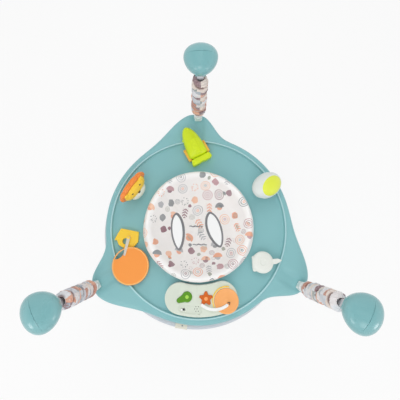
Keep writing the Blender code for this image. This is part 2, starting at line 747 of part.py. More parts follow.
def make_seat_cover():
    """The fabric bucket, hung over the ring, with its two leg holes and soft folds."""
    rim, bowl, bottom = cover_profile()
    segments = 26
    shape = bmesh.new()
    rows = []
    for index, (radius, height) in enumerate(rim + bowl):
        fold = 0.0 if index < len(rim) else 0.03 * (index - len(rim) + 1) / len(bowl)
        row = []
        for step in range(segments):
            angle = 360 * step / segments
            drawn = radius * (1 + fold * math.cos(math.radians(angle * 6)))
            row.append(shape.verts.new((*polar(drawn, angle), height)))
        rows.append(row)
    for row, below in zip(rows, rows[1:]):
        for index in range(segments):
            after = (index + 1) % segments
            shape.faces.new((row[index], below[index], below[after], row[after]))
    tip = shape.verts.new((0, 0, bottom))
    for index in range(segments):
        shape.faces.new((rows[-1][index], tip, rows[-1][(index + 1) % segments]))
    mesh = bpy.data.meshes.new("seat_cover")
    shape.to_mesh(mesh)
    shape.free()
    cover = new_object("seat_cover", mesh)
    cloth = cover.modifiers.new("Cloth", "SOLIDIFY")
    cloth.thickness = COVER_THICKNESS
    cloth.offset = -1.0
    cut(worked(cover), leg_hole(-1), leg_hole(1))
    finish(cover, PRINT_FABRIC, AXIS, (0, 0, math.radians(SEAT_YAW_DEG)))


# Sound console

def bean(grow):
    """The console's outline, a bar bent round the seat, grown or drawn in."""
    half = CONSOLE_HALF_WIDTH + grow
    start, end = CONSOLE_FROM_DEG, CONSOLE_TO_DEG
    points = arc((0, 0), CONSOLE_RADIUS + half, start, end, 8)
    points += arc(polar(CONSOLE_RADIUS, end), half, end, end + 180, 9)[1:-1]
    points += arc((0, 0), CONSOLE_RADIUS - half, end, start, 5)
    points += arc(polar(CONSOLE_RADIUS, start), half, start + 180, start + 360, 9)[1:-1]
    return points


def ring(centre, radius, count=16):
    """A circle's points."""
    return arc(centre, radius, 0, 360 - 360 / count, count)


def pear(grow):
    """The pear-shaped button's outline about the middle of its bulb."""
    bulb = 0.0140 + grow
    neck = 0.0050 + grow
    tail = (-0.0270, -0.0120)
    lean = math.degrees(math.atan2(tail[1], tail[0]))
    return arc((0, 0), bulb, lean + 75, lean + 285, 14) + arc(tail, neck, lean - 80, lean + 80, 7)


def star(grow):
    """The star button's outline, five blunt points."""
    points = []
    for step in range(5):
        angle = 90 + 72 * step
        points += [polar(0.0175 + grow, angle + turn) for turn in (-7, 7)]
        points.append(polar(0.0100 + grow, angle + 36))
    return points


def shifted(points, spot):
    """An outline moved to a spot."""
    return [(x + spot[0], y + spot[1]) for x, y in points]


def make_console():
    """The console's housing, face, trim, buttons, spinner and what is inside it."""
    desk = stand("console_stand", 0.0, 0.0)
    floor = TOUCH + CONSOLE_WALL
    base = plate("console_base", [bean(0.0)], TOUCH, FACE_BOTTOM - TOUCH)
    hollow = plate("hollow", [bean(-CONSOLE_WALL)], floor, FACE_TOP)
    x, y = BATTERY_SPOT
    door_x, door_y = BATTERY_LENGTH / 2 + 0.003, BATTERY_RADIUS * 3 + 0.002
    hatch = block("hatch", (x - door_x, y - door_y, -0.01), (x + door_x, y + door_y, 0.01))
    finish(cut(base, hollow, hatch), PALE_PLASTIC, parent=desk)
    gap = TOUCH
    door = block(
        "battery_door", (x - door_x + gap, y - door_y + gap, TOUCH), (x + door_x - gap, y + door_y - gap, floor))
    finish(door, PALE_PLASTIC, parent=desk)
    cells = []
    for row in (-1, 0, 1):
        middle = (y + row * BATTERY_RADIUS * 1.95, floor + TOUCH + BATTERY_RADIUS)
        cells.append(rod(
            "cell", BATTERY_RADIUS, (x - BATTERY_LENGTH / 2, *middle), (x + BATTERY_LENGTH / 2, *middle), sides=12))
    holder = block(
        "batteries", (x - 0.008, y - BATTERY_RADIUS * 2, floor + TOUCH + 0.002),
        (x + 0.008, y + BATTERY_RADIUS * 2, floor + BATTERY_RADIUS * 1.6))
    finish(join(holder, *cells), STEEL, parent=desk)

    x, y = BOARD_SPOT
    board = block("circuit_board", (x - 0.026, y - 0.024, floor + TOUCH), (x + 0.026, y + 0.024, floor + 0.002))
    switch_top = FACE_BOTTOM - 0.006 - BUTTON_TRAVEL - TOUCH
    tact = block(
        "tact", (STAR_SPOT[0] - 0.004, STAR_SPOT[1] - 0.004, floor + 0.001),
        (STAR_SPOT[0] + 0.004, STAR_SPOT[1] + 0.004, switch_top))
    finish(join(board, tact), BOARD_GREEN, parent=desk)
    x, y = SPEAKER_SPOT
    speaker = rod("speaker", 0.0105, (x, y, FACE_BOTTOM - TOUCH), (x, y, FACE_BOTTOM - 0.006), sides=16)
    join(speaker, rod("magnet", 0.0065, (x, y, FACE_BOTTOM - 0.005), (x, y, floor + TOUCH), sides=12))
    finish(speaker, DARK, parent=desk)

    knob_half = 0.0015
    slot_half = SWITCH_TRAVEL / 2 + knob_half + RUN
    slot = [(-slot_half, -0.003), (slot_half, -0.003), (slot_half, 0.003), (-slot_half, 0.003)]
    sound = [SPEAKER_SPOT] + [
        (SPEAKER_SPOT[0] + dx, SPEAKER_SPOT[1] + dy) for dx, dy in (polar(0.0068, 60 * step + 60) for step in range(5))]
    holes = [
        shifted(pear(RUN), PEAR_SPOT), shifted(star(RUN), STAR_SPOT), ring(SPINNER_SPOT, 0.004 + TOUCH, 12),
        shifted(slot, SWITCH_SPOT),
    ]
    holes += [ring(spot, 0.0013, 6) for spot in sound]
    face = plate("console_face", [bean(0.0)], FACE_BOTTOM, FACE_TOP)
    cut(face, *[plate("hole", [outline], FACE_BOTTOM - 0.001, FACE_TOP + 0.001) for outline in holes])
    rim = arc(SPINNER_SPOT, SPINNER_RADIUS + 0.0045, 78, 205, 13)
    rim += arc(SPINNER_SPOT, SPINNER_RADIUS + RUN, 205, 78, 13)
    finish(join(face, plate("rim", [rim], FACE_TOP - 0.001, FACE_TOP + SPINNER_THICKNESS)), WHITE_PLASTIC, parent=desk)

    button("pear_button", pear(0.0), PEAR_SPOT, GREEN, desk, 0.004)
    button("star_button", star(0.0), STAR_SPOT, ORANGE, desk, 0.006)

    disc = rod("peach_disc", SPINNER_RADIUS, (0, 0, TOUCH), (0, 0, SPINNER_THICKNESS), sides=28)
    join(disc, rod("axle", 0.004, (0, 0, -FACE_THICKNESS - 0.004), (0, 0, 0.002), sides=12))
    finish(disc, PEACH, (*SPINNER_SPOT, FACE_TOP), parent=desk)

    low = FACE_TOP + SPINNER_THICKNESS + RUN
    sweep = (0.0440, -0.1720)
    band = arc(sweep, 0.0620, 236, 309, 12) + arc(sweep, 0.0560, 309, 236, 12)
    trim = plate("console_trim", [band], low, low + 0.0022)
    leg = arc(sweep, 0.0615, 237, 254, 5) + arc(sweep, 0.0565, 254, 237, 5)
    join(trim, plate("leg", [leg], FACE_TOP + TOUCH, low + 0.001))
    finish(trim, WHITE_PLASTIC, parent=desk)

    off = -SWITCH_TRAVEL / 2
    knob = block(
        "power_switch", (off - knob_half, -0.0022, -FACE_THICKNESS - 0.001), (off + knob_half, 0.0022, 0.0025))
    keeper = block(
        "keeper", (off - 0.006, -0.004, -FACE_THICKNESS - 0.0013), (off + 0.006, 0.004, -FACE_THICKNESS - TOUCH))
    finish(join(knob, keeper), DARK, (*SWITCH_SPOT, FACE_TOP), parent=desk)


def button(name, outline, spot, look, desk, depth):
    """A press button with a skirt under the face, that stays in its hole."""
    cap = plate(name, [outline], -FACE_THICKNESS - 0.001, BUTTON_RISE)
    wide = [(x * 1.16, y * 1.16) for x, y in outline]
    skirt = plate("skirt", [wide], -FACE_THICKNESS - 0.0018, -FACE_THICKNESS - TOUCH)
    stem = rod("stem", 0.003, (0, 0, -FACE_THICKNESS - depth), (0, 0, 0), sides=10)
    finish(join(cap, skirt, stem), look, (*spot, FACE_TOP), parent=desk)


# Toys. Each stands on the tray with a peg in the floor, and its own frame faces +X.

def peg(made, top=0.002):
    """The toy's base with its peg down through the tray."""
    return join(made, rod("peg", PEG_RADIUS, (0, 0, -PEG_LENGTH), (0, 0, top), sides=12))


def make_crocodile():
    """A snapping head: base with collar and lower jaw, two side legs, and the upper jaw on its hinge."""
    spot = stand("crocodile_stand", *TOYS["crocodile"])
    jaw_low = 0.0188
    back = -0.0265
    hinge = Vector((back + 0.0003, 0, jaw_low + 0.0007))
    half = JAW_HALF_WIDTH
    sole = 0.003
    base = block("crocodile_base", (back - 0.020, -0.031, TOUCH), (back - 0.002, 0.031, 0.026), bevel=0.003)
    belly = block("belly", (back - 0.006, -half, sole + TOUCH), (0.012, half, jaw_low - TOUCH), bevel=0.002)
    chin = block("chin", (0.0, -half * 0.62, RIDGE_RISE + 0.0015), (0.056, half * 0.62, jaw_low - RUN), bevel=0.001)
    groove = rod("groove", 0.0028 + TOUCH, hinge + Vector((0, -0.0125, 0)), hinge + Vector((0, 0.0125, 0)), sides=12)
    finish(cut(peg(join(base, belly, chin), sole + 0.003), groove), LIME, parent=spot)

    legs = block("crocodile_legs", (back, -half - 0.007, TOUCH), (0.004, half + 0.007, sole))
    for side in (-1, 1):
        middle = side * (half + 0.0075)
        shin = block("shin", (back, middle - 0.0055, TOUCH), (-0.012, middle + 0.0055, 0.020), bevel=0.002)
        toes = block(
            "toes", (back - 0.001, middle - 0.006, RIDGE_RISE + 0.0015), (0.014, middle + 0.006, 0.0235), bevel=0.003)
        join(legs, shin, toes)
    finish(cut(legs, rod("hole", PEG_RADIUS + TOUCH, (0, 0, -0.01), (0, 0, 0.01), sides=12)), YELLOW, parent=spot)

    def form(point):
        reach = JAW_LENGTH / 2
        width = half * (1 - 0.22 * point.x) * (1 + 0.05 * abs(point.x))
        return Vector((reach * point.x, width * point.y, max(0.0, point.z) ** 0.8 * JAW_HEIGHT))
    centre = Vector((back + JAW_LENGTH / 2, 0, jaw_low)) - hinge
    jaw = blob("crocodile_jaw", centre, None, segments=16, rings=12, form=form)
    knuckle = rod("knuckle", 0.0028, (0, -0.012, 0), (0, 0.012, 0), sides=12)
    finish(join(jaw, knuckle), LIME, hinge, parent=spot)


def make_lion():
    """A lion's head that rocks on a post: post, scalloped mane and face."""
    spot = stand("lion_stand", *TOYS["lion"])
    pivot = Vector((-0.006, 0, 0.026))
    centre = Vector((0, 0, MANE_HEIGHT))
    tilt = Matrix.Rotation(math.radians(90 - MANE_TILT_DEG), 4, "Y")
    place = Matrix.Translation(centre - pivot) @ tilt
    post_half = 0.012

    post = block("lion_post", (-0.017, -post_half, TOUCH), (0.003, post_half, pivot.z - 0.003), bevel=0.002)
    flange = rod("flange", 0.020, (-0.006, 0, TOUCH), (-0.006, 0, 0.004), sides=20)
    saddle = rod("saddle", 0.006 + TOUCH, pivot + Vector((0, -0.02, 0)), pivot + Vector((0, 0.02, 0)), sides=16)
    finish(cut(peg(join(post, flange)), saddle), CREAM, parent=spot)

    outline = []
    for step in range(40):
        angle = 9 * step
        outline.append(polar(MANE_RADIUS - 0.0035 * (1 - abs(math.sin(math.radians(angle * 5)))), angle))
    mane = moved(plate("lion_mane", [outline], -MANE_THICKNESS / 2, MANE_THICKNESS / 2), place)
    notch_half = post_half + 0.0025
    notch = block("notch", (-0.05, -notch_half, -0.05), (0.05, notch_half, 0.005))
    cut(mane, notch)
    knuckle = rod("knuckle", 0.006, (0, -0.011, 0), (0, 0.011, 0), sides=16)
    neck = rod("neck", 0.0055, (0, 0, 0), (0.005, 0, 0.012), sides=10)
    finish(join(mane, knuckle, neck), MANE_ORANGE, pivot, parent=spot)

    def form(point):
        return Vector((0.038 * point.x, 0.042 * point.y, max(0.0, point.z) * 0.014))
    lift = MANE_THICKNESS / 2 + TOUCH
    face = moved(blob("lion_face", (0, 0, lift), None, segments=16, rings=8, form=form), place)
    muzzle = moved(blob("muzzle", (0.014, 0, lift + 0.0108), (0.017, 0.026, 0.0105), segments=12, rings=6), place)
    finish(join(face, muzzle), YELLOW, pivot, parent=spot)


def make_fruit():
    """A round fruit on a tether that swings about a pin on its holder."""
    spot = stand("fruit_stand", *TOYS["fruit"])
    outline = [
        (-0.025, 0.027), (-0.035, 0.011), (-0.044, -0.008), (-0.0365, -0.006), (-0.030, -0.021),
        (-0.013, -0.031), (0.015, -0.026), (0.027, -0.012), (0.028, 0.017),
    ]
    top = TOUCH + HOLDER_THICKNESS
    disc_low = RIDGE_RISE + 0.0007
    tether_low = disc_low + DISC_THICKNESS + TOUCH
    holder = plate("fruit_holder", [outline, ring((-0.0105, -0.0105), 0.0090, 14)], TOUCH, top)
    pin = rod("pin", 0.0025, (0, 0, 0.005), (0, 0, tether_low + TETHER_THICKNESS + 0.001), sides=12)
    head = rod("head", 0.0040, (0, 0, tether_low + TETHER_THICKNESS + TOUCH), (0, 0, tether_low + 0.0045), sides=12)
    spacer = rod("spacer", 0.0045, (0, 0, top - 0.001), (0, 0, tether_low - TOUCH), sides=12)
    finish(join(peg(holder), pin, head, spacer), YELLOW, parent=spot)

    end = Vector((-0.0098, -0.0480))
    lean = math.degrees(math.atan2(end.y, end.x))
    strip = arc(end, 0.0035, lean - 90, lean + 90, 7) + arc((0, 0), 0.0050, lean + 90, lean + 270, 9)
    tether = plate(
        "fruit_tether", [strip, ring((0, 0), 0.0025 + TOUCH, 12)], tether_low, tether_low + TETHER_THICKNESS)
    nub_radius = 0.0022
    nub = rod("nub", nub_radius, (*end, disc_low + 0.001), (*end, tether_low + 0.001), sides=10)
    finish(join(tether, nub), CREAM, parent=spot)

    centre = (0.008, -0.0797)
    chord = 0.0195
    middle = 136
    inner_radius = 0.0256
    hollow = DISC_RADIUS - 0.0035
    half_turn = math.degrees(math.asin(chord / hollow))
    sink = hollow * math.cos(math.radians(half_turn)) + math.sqrt(inner_radius ** 2 - chord ** 2)
    low_turn = math.degrees(math.asin(chord / inner_radius))
    leaf = arc((0, 0), hollow, middle - half_turn, middle + half_turn, 9)
    leaf += arc(polar(sink, middle), inner_radius, middle + 180 - low_turn, middle + 180 + low_turn, 9)[1:-1]
    holes = [shifted(leaf, centre), ring(end, nub_radius + TOUCH, 10)]
    disc = plate("orange_disc", [ring(centre, DISC_RADIUS, 32), *holes], disc_low, disc_low + DISC_THICKNESS)
    finish(disc, ORANGE, parent=spot)


def make_whale():
    """A white whale that turns on a post."""
    spot = stand("whale_stand", *TOYS["whale"])
    foot = 0.006
    top = foot + TOUCH + WHALE_THICKNESS
    post = rod("whale_post", 0.013, (0, 0, TOUCH), (0, 0, foot), sides=20)
    join(post, rod("axle", 0.005, (0, 0, 0.003), (0, 0, top - 0.005), sides=12))
    finish(peg(post), CREAM, parent=spot)

    low = foot + TOUCH
    half = WHALE_THICKNESS / 2

    def form(point):
        rise = math.copysign(abs(point.z) ** 0.65, point.z)
        return Vector((WHALE_RADIUS * point.x, WHALE_RADIUS * point.y, half * rise))
    body = blob("whale_body", (0, 0, low + half), None, segments=20, rings=8, form=form)
    tail_low = RIDGE_RISE + 0.002
    tail = [(0.026, -0.007), (0.040, -0.006), (0.056, 0.003), (0.044, 0.008), (0.030, 0.007), (0.022, 0.002)]
    brow = [(-0.020, 0.021), (-0.031, 0.018), (-0.031, -0.012), (-0.029, -0.025), (-0.014, -0.024), (0, 0)]
    join(body, plate("tail", [tail], tail_low, tail_low + 0.006), plate("brow", [brow], low + 0.003, top - 0.009))
    cut(body, rod("bore", 0.005 + TOUCH, (0, 0, 0), (0, 0, top - 0.005 + TOUCH), sides=12))
    finish(body, WHITE_PLASTIC, parent=spot)


def make_ball():
    """A ringed ball with a lime face, that turns on a post."""
    spot = stand("ball_stand", *TOYS["ball"])
    axle_top = BALL_HEIGHT - 0.018
    post = rod("ball_post", 0.015, (0, 0, TOUCH), (0, 0, 0.005), sides=20)
    join(post, rod("axle", PEG_RADIUS, (0, 0, 0.003), (0, 0, axle_top), sides=12))
    finish(peg(post), CREAM, parent=spot)

    def form(point):
        return Vector((BALL_LONG * point.x, BALL_SHORT * point.y, (BALL_SHORT - 0.002) * point.z))
    level = polar(math.cos(math.radians(BALL_FACE_RISE_DEG)), BALL_FACE_TURN_DEG - TOYS["ball"][2])
    face_way = Vector((*level, math.sin(math.radians(BALL_FACE_RISE_DEG))))
    turn = Vector((0, 0, 1)).rotation_difference(face_way).to_matrix().to_4x4()
    for name, low, high, look in (
            ("toy_ball", -TOUCH / 2, 0.1, WHITE_PLASTIC), ("ball_face", -0.1, TOUCH / 2, LIME)):
        side = block("side", (-0.1, -0.1, low + BALL_FACE_PLANE), (0.1, 0.1, high + BALL_FACE_PLANE))
        moved(side, Matrix.Translation((0, 0, BALL_HEIGHT)) @ turn)
        ball = blob(name, (0, 0, BALL_HEIGHT), None, segments=18, rings=10, form=form)
        cut(ball, side)
        if name == "toy_ball":
            cut(ball, rod("bore", PEG_RADIUS + TOUCH, (0, 0, 0), (0, 0, axle_top + TOUCH), sides=12))
        finish(ball, look, parent=spot)


# The scene starts empty, and the jumper's pieces go in one collection
for leftover in list(bpy.data.objects):
    bpy.data.objects.remove(leftover)
GROUP = bpy.data.collections.new("baby_activity_jumper")
bpy.context.scene.collection.children.link(GROUP)

TEAL = material("teal_plastic", 138, 189, 191, 0.42)
PALE_METAL = material("pale_painted_tube", 207, 213, 220, 0.35)
CREAM = material("cream_plastic", 238, 230, 205, 0.45)
STEEL = material("spring_steel", 176, 178, 180, 0.3, 1.0)
WEBBING = material("white_webbing", 228, 230, 236, 0.85)
PRINT_FABRIC = material("print_fabric", 244, 238, 234, 0.9)
PALE_PLASTIC = material("pale_plastic", 220, 228, 224, 0.45)
WHITE_PLASTIC = material("white_plastic", 236, 238, 234, 0.4)
LIME = material("lime_plastic", 214, 228, 50, 0.4)
YELLOW = material("yellow_plastic", 250, 208, 84, 0.4)
ORANGE = material("orange_plastic", 250, 156, 74, 0.4)
MANE_ORANGE = material("deep_orange_plastic", 245, 140, 62, 0.45)
PEACH = material("peach_plastic", 247, 189, 130, 0.4)
GREEN = material("green_plastic", 106, 160, 40, 0.4)
DARK = material("dark_plastic", 60, 62, 64, 0.5)
BOARD_GREEN = material("circuit_board", 40, 110, 70, 0.5)

make_base()
make_caps()
make_straps()
make_springs()
make_sleeves()
make_hooks()
make_tray()
make_seat_ring()
make_seat_cover()
make_console()
make_crocodile()
make_lion()
make_fruit()
make_whale()
make_ball()
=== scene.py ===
# The looks of the baby activity jumper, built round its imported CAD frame. Metres, +Z up, front at -Y.

import math

import bmesh
import bpy
from mathutils import Matrix, Vector, noise
from mathutils.bvhtree import BVHTree


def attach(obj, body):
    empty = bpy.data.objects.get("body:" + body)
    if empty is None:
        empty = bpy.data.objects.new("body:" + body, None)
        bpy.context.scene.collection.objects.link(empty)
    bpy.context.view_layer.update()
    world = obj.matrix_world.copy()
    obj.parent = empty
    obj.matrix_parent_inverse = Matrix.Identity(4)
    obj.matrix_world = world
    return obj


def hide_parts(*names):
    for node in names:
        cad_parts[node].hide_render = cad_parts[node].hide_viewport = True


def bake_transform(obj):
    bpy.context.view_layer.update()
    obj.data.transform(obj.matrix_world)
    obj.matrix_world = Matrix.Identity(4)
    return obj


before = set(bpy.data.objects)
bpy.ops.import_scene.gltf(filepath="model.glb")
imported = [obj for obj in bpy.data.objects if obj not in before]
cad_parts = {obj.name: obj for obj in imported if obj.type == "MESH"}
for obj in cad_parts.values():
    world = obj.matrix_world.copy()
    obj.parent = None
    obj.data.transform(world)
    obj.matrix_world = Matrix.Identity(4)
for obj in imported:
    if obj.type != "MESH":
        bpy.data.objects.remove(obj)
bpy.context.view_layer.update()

# The middle axis of ring, tray and seat, and the bearings of the three posts about it.
AXIS = Vector((0.0, -0.033969, 0.0))
POSTS = {"back": 90.0, "left": 210.0, "right": 330.0}


# The picture is taken from almost straight above, from a little towards the jumper's front, and its
# middle lies below the middle of the lens, so the lens is shifted. Nothing is out of focus.

view = bpy.data.cameras.new("Camera")
view.sensor_width = 36.0
view.lens = 34.07
view.shift_x = 0.0245
view.shift_y = -0.1231
camera = bpy.data.objects.new("Camera", view)
bpy.context.scene.collection.objects.link(camera)
camera.matrix_world = (
    Matrix.Translation(AXIS + Vector((-0.0253, -0.0594, 1.55)))
    @ Matrix.Rotation(0.2465, 4, "X") @ Matrix.Rotation(0.0033, 4, "Z")
)
bpy.context.scene.camera = camera
bpy.context.scene.view_settings.view_transform = "Standard"


# The jumper stands on a white studio floor. Its white is partly its own glow towards the lens, so
# the lamps can stay low enough to keep the pale fabric and plastic from clipping.

def paint(red, green, blue):
    """A colour of three sRGB channels, 0 to 255, as linear light."""
    channels = [channel / 255 for channel in (red, green, blue)]
    return (*[c / 12.92 if c <= 0.04045 else ((c + 0.055) / 1.055) ** 2.4 for c in channels], 1.0)


def add(tree, kind, *sockets, **settings):
    """A shader node with its settings, and its first inputs as values or as other nodes' sockets."""
    made = tree.nodes.new("ShaderNode" + kind)
    for key, value in settings.items():
        setattr(made, key, value)
    for socket, value in zip(made.inputs, sockets):
        if isinstance(value, bpy.types.NodeSocket):
            tree.links.new(value, socket)
        elif value is not None:
            socket.default_value = value
    return made.outputs[0]


def seen(tree):
    """1 for what the lens, a reflection or a clear piece looks at, and 0 for the light that falls."""
    path = tree.nodes.new("ShaderNodeLightPath").outputs
    straight = add(tree, "Math", path["Is Camera Ray"], path["Is Glossy Ray"], operation="MAXIMUM")
    return add(tree, "Math", straight, path["Is Transmission Ray"], operation="MAXIMUM")


FLOOR_SIZE = 14.0
FLOOR_GLOW = 0.80
ROOM_LIGHT = 0.62
CEILING_LIGHT = 0.30

floor_look = bpy.data.materials.new("studio_floor")
floor_look.use_nodes = True
floor_tree = floor_look.node_tree
floor_shader = floor_tree.nodes["Principled BSDF"]
floor_shader.inputs["Base Color"].default_value = paint(244, 244, 244)
floor_shader.inputs["Roughness"].default_value = 0.9
floor_glow = add(floor_tree, "Emission", (1.0, 1.0, 1.0, 1.0), 1.0)
floor_share = add(floor_tree, "Math", seen(floor_tree), FLOOR_GLOW, operation="MULTIPLY")
floor_mix = add(floor_tree, "MixShader", floor_share, floor_shader.outputs[0], floor_glow)
floor_tree.links.new(floor_mix, floor_tree.nodes["Material Output"].inputs["Surface"])

floor_shape = bmesh.new()
bmesh.ops.create_grid(floor_shape, x_segments=8, y_segments=8, size=FLOOR_SIZE / 2)
floor_mesh = bpy.data.meshes.new("studio_floor")
floor_shape.to_mesh(floor_mesh)
floor_shape.free()
floor_mesh.materials.append(floor_look)
floor = bpy.data.objects.new("studio_floor", floor_mesh)
bpy.context.scene.collection.objects.link(floor)

world = bpy.data.worlds.new("studio")
world.use_nodes = True
bpy.context.scene.world = world
sky = world.node_tree
sky_light = sky.nodes["Background"]
sky_light.inputs["Color"].default_value = (1.0, 1.0, 1.0, 1.0)
sky_light.inputs["Strength"].default_value = ROOM_LIGHT
sky_white = add(sky, "Background", (1.0, 1.0, 1.0, 1.0), 1.0)
height = sky.nodes.new("ShaderNodeSeparateXYZ")
sky.links.new(sky.nodes.new("ShaderNodeTexCoord").outputs["Generated"], height.inputs[0])
overhead = add(sky, "MapRange", height.outputs[2], 0.35, 0.85, 1.0, CEILING_LIGHT)
mirrored = sky.nodes.new("ShaderNodeLightPath").outputs["Is Glossy Ray"]
sky_room = add(sky, "Background", (1.0, 1.0, 1.0, 1.0), overhead)
sky_mix = add(sky, "MixShader", seen(sky), sky_light.outputs[0], sky_white)
sky_mix = add(sky, "MixShader", mirrored, sky_mix, sky_room)
sky.links.new(sky_mix, sky.nodes["World Output"].inputs["Surface"])


def softbox(name, place, size, power, mirrored):
    """A square soft lamp that faces the jumper, and shows in glossy surfaces or not."""
    data = bpy.data.lights.new(name, "AREA")
    data.size = size
    data.energy = power
    lamp = bpy.data.objects.new(name, data)
    bpy.context.scene.collection.objects.link(lamp)
    lamp.location = place
    lamp.visible_glossy = mirrored
    lamp.rotation_euler = (Vector((0, 0, 0.4)) - lamp.location).to_track_quat("-Z", "Y").to_euler()


softbox("key_lamp", Vector((0.1, 1.45, 2.6)), 1.2, 9.0, False)
softbox("top_lamp", Vector((-0.2, -0.1, 3.0)), 1.2, 10.0, False)
softbox("front_box", Vector((-0.3, -1.7, 2.3)), 1.2, 9.0, True)
softbox("left_window", Vector((-1.5, -1.7, 1.2)), 0.6, 4.0, True)
softbox("right_window", Vector((1.7, -1.4, 0.9)), 0.5, 3.0, True)


# The floor ring is steel tube in three bent lengths, powder coated in pale grey, each end pushed into
# a foot. The front length is made of two pieces, joined under the cream coupler.

RING_RADIUS = 0.350
RING_HEIGHT = 0.020
RING_TUBE_RADIUS = 0.011
TUBE_STOP_DEG = 2.62
COAT_WALL = 0.0012


def mixed(tree, factor, first, second):
    """A colour between two colours, by a factor from 0 to 1."""
    made = tree.nodes.new("ShaderNodeMix")
    made.data_type = "RGBA"
    for socket, value in ((made.inputs[0], factor), (made.inputs[6], first), (made.inputs[7], second)):
        if isinstance(value, bpy.types.NodeSocket):
            tree.links.new(value, socket)
        else:
            socket.default_value = value
    return made.outputs[2]


def bumped(tree, shader, height, strength, distance):
    """Raises the surface's look by a height pattern. The distance is in metres."""
    bump = tree.nodes.new("ShaderNodeBump")
    bump.inputs["Strength"].default_value = strength
    bump.inputs["Distance"].default_value = distance
    tree.links.new(height, bump.inputs["Height"])
    tree.links.new(bump.outputs[0], shader.inputs["Normal"])


def finish(name, red, green, blue, rough=0.4, drift=0.035, grain=650.0, relief=0.12, metal=0.0, coat=0.0):
    """A moulded or painted finish: one colour with faint flow marks, a fine grain, uneven gloss, and convex edges
    lightened as a painted highlight.
    """
    made = bpy.data.materials.new(name)
    made.use_nodes = True
    tree = made.node_tree
    shader = tree.nodes["Principled BSDF"]
    shader.inputs["Metallic"].default_value = metal
    shader.inputs["Coat Weight"].default_value = coat
    shader.inputs["Coat Roughness"].default_value = 0.12
    colour = paint(red, green, blue)
    deep = (*[c * (1 - drift) ** 2 for c in colour[:3]], 1.0)
    light = (*[min(1.0, c * (1 + drift)) for c in colour[:3]], 1.0)
    spot = tree.nodes.new("ShaderNodeTexCoord").outputs["Object"]
    flow = add(tree, "TexNoise", spot, None, 7.0, 3.0, 0.55)
    # Painted highlight: convex edges, found by pointiness, are lightened towards the lighter tone.
    edge = tree.nodes.new("ShaderNodeNewGeometry").outputs["Pointiness"]
    edge_highlight = add(tree, "MapRange", edge, 0.46, 0.56, 0.0, 1.0)
    tree.links.new(mixed(tree, edge_highlight, mixed(tree, flow, deep, light), light), shader.inputs["Base Color"])
    gloss = add(tree, "MapRange", add(tree, "TexNoise", spot, None, 38.0, 2.0), 0.3, 0.7, rough - 0.04, rough + 0.05)
    tree.links.new(gloss, shader.inputs["Roughness"])
    bumped(tree, shader, add(tree, "TexNoise", spot, None, grain, 2.0), relief, 0.0004)
    return made


def piece(name, shape, look, sharp=38.0, rounding=0):
    """An object of a finished bmesh, smooth but for edges over the sharp angle."""
    mesh = bpy.data.meshes.new(name)
    shape.to_mesh(mesh)
    shape.free()
    mesh.materials.append(look)
    mesh.shade_smooth()
    mesh.set_sharp_from_angle(angle=math.radians(sharp))
    made = bpy.data.objects.new(name, mesh)
    bpy.context.scene.collection.objects.link(made)
    if rounding:
        smoother = made.modifiers.new("Rounding", "SUBSURF")
        smoother.levels = smoother.render_levels = rounding
    return made


def turned(profile, steps=40, bearing=360.0, axis=(0, 0, 1), centre=(0, 0, 0)):
    """A line of points spun about an axis, right round unless a lesser bearing is given."""
    shape = bmesh.new()
    spots = [shape.verts.new(point) for point in profile]
    for first, second in zip(spots, spots[1:]):
        shape.edges.new((first, second))
    bmesh.ops.spin(
        shape, geom=shape.verts[:] + shape.edges[:], cent=centre, axis=axis, dvec=(0, 0, 0),
        angle=math.radians(bearing), steps=steps, use_merge=bearing == 360.0, use_duplicate=False)
    bmesh.ops.remove_doubles(shape, verts=shape.verts, dist=0.000002)
    bmesh.ops.recalc_face_normals(shape, faces=shape.faces)
    return shape


def set_at(shape, matrix):
    """Moves a whole bmesh by a matrix."""
    bmesh.ops.transform(shape, matrix=matrix, verts=shape.verts)
    return shape


def joined(*shapes):
    """One bmesh that holds the parts of several."""
    whole = shapes[0]
    for other in shapes[1:]:
        loose = bpy.data.meshes.new("loose")
        other.to_mesh(loose)
        other.free()
        whole.from_mesh(loose)
        bpy.data.meshes.remove(loose)
    return whole


def bent_rod(radius, reach, low_deg, high_deg, steps, height=0.0, sides=24):
    """A round solid rod bent along an arc about the axis, its ends closed."""
    shape = bmesh.new()
    bmesh.ops.create_circle(shape, cap_ends=True, segments=sides, radius=radius)
    set_at(shape, Matrix.Rotation(math.radians(low_deg), 4, "Z")
           @ Matrix.Translation((reach, 0, height)) @ Matrix.Rotation(math.radians(90), 4, "X"))
    bmesh.ops.spin(
        shape, geom=shape.verts[:] + shape.edges[:] + shape.faces[:], cent=(0, 0, 0), axis=(0, 0, 1),
        dvec=(0, 0, 0), angle=math.radians(high_deg - low_deg), steps=steps, use_merge=False)
    bmesh.ops.recalc_face_normals(shape, faces=shape.faces)
    return shape


powder_coat = finish("powder_coat", 206, 212, 219, rough=0.34, grain=420.0, relief=0.18)
for node, (low, high) in {
        "base_tube_left": (POSTS["back"], POSTS["left"]),
        "base_tube_front": (POSTS["left"], POSTS["right"]),
        "base_tube_right": (POSTS["right"] - 360, POSTS["back"])}.items():
    bend = bent_rod(RING_TUBE_RADIUS, RING_RADIUS, low + TUBE_STOP_DEG, high - TUBE_STOP_DEG, 60, RING_HEIGHT)
    ring_tube = piece(f"floor_{node}", set_at(bend, Matrix.Translation(AXIS)), powder_coat)
    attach(ring_tube, "frame")
    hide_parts(node)


# The coupler is a cream plastic sleeve over the joint of the front tube. It is moulded with a bead at
# each end, and a steel snap button inside the tube springs out through its top.

COUPLER_BEARING = 260.8
COUPLER_HALF_DEG = 3.6
COUPLER_RADIUS = 0.0143
COUPLER_BEAD = 0.0009
SNAP_BUTTON_RADIUS = 0.0034

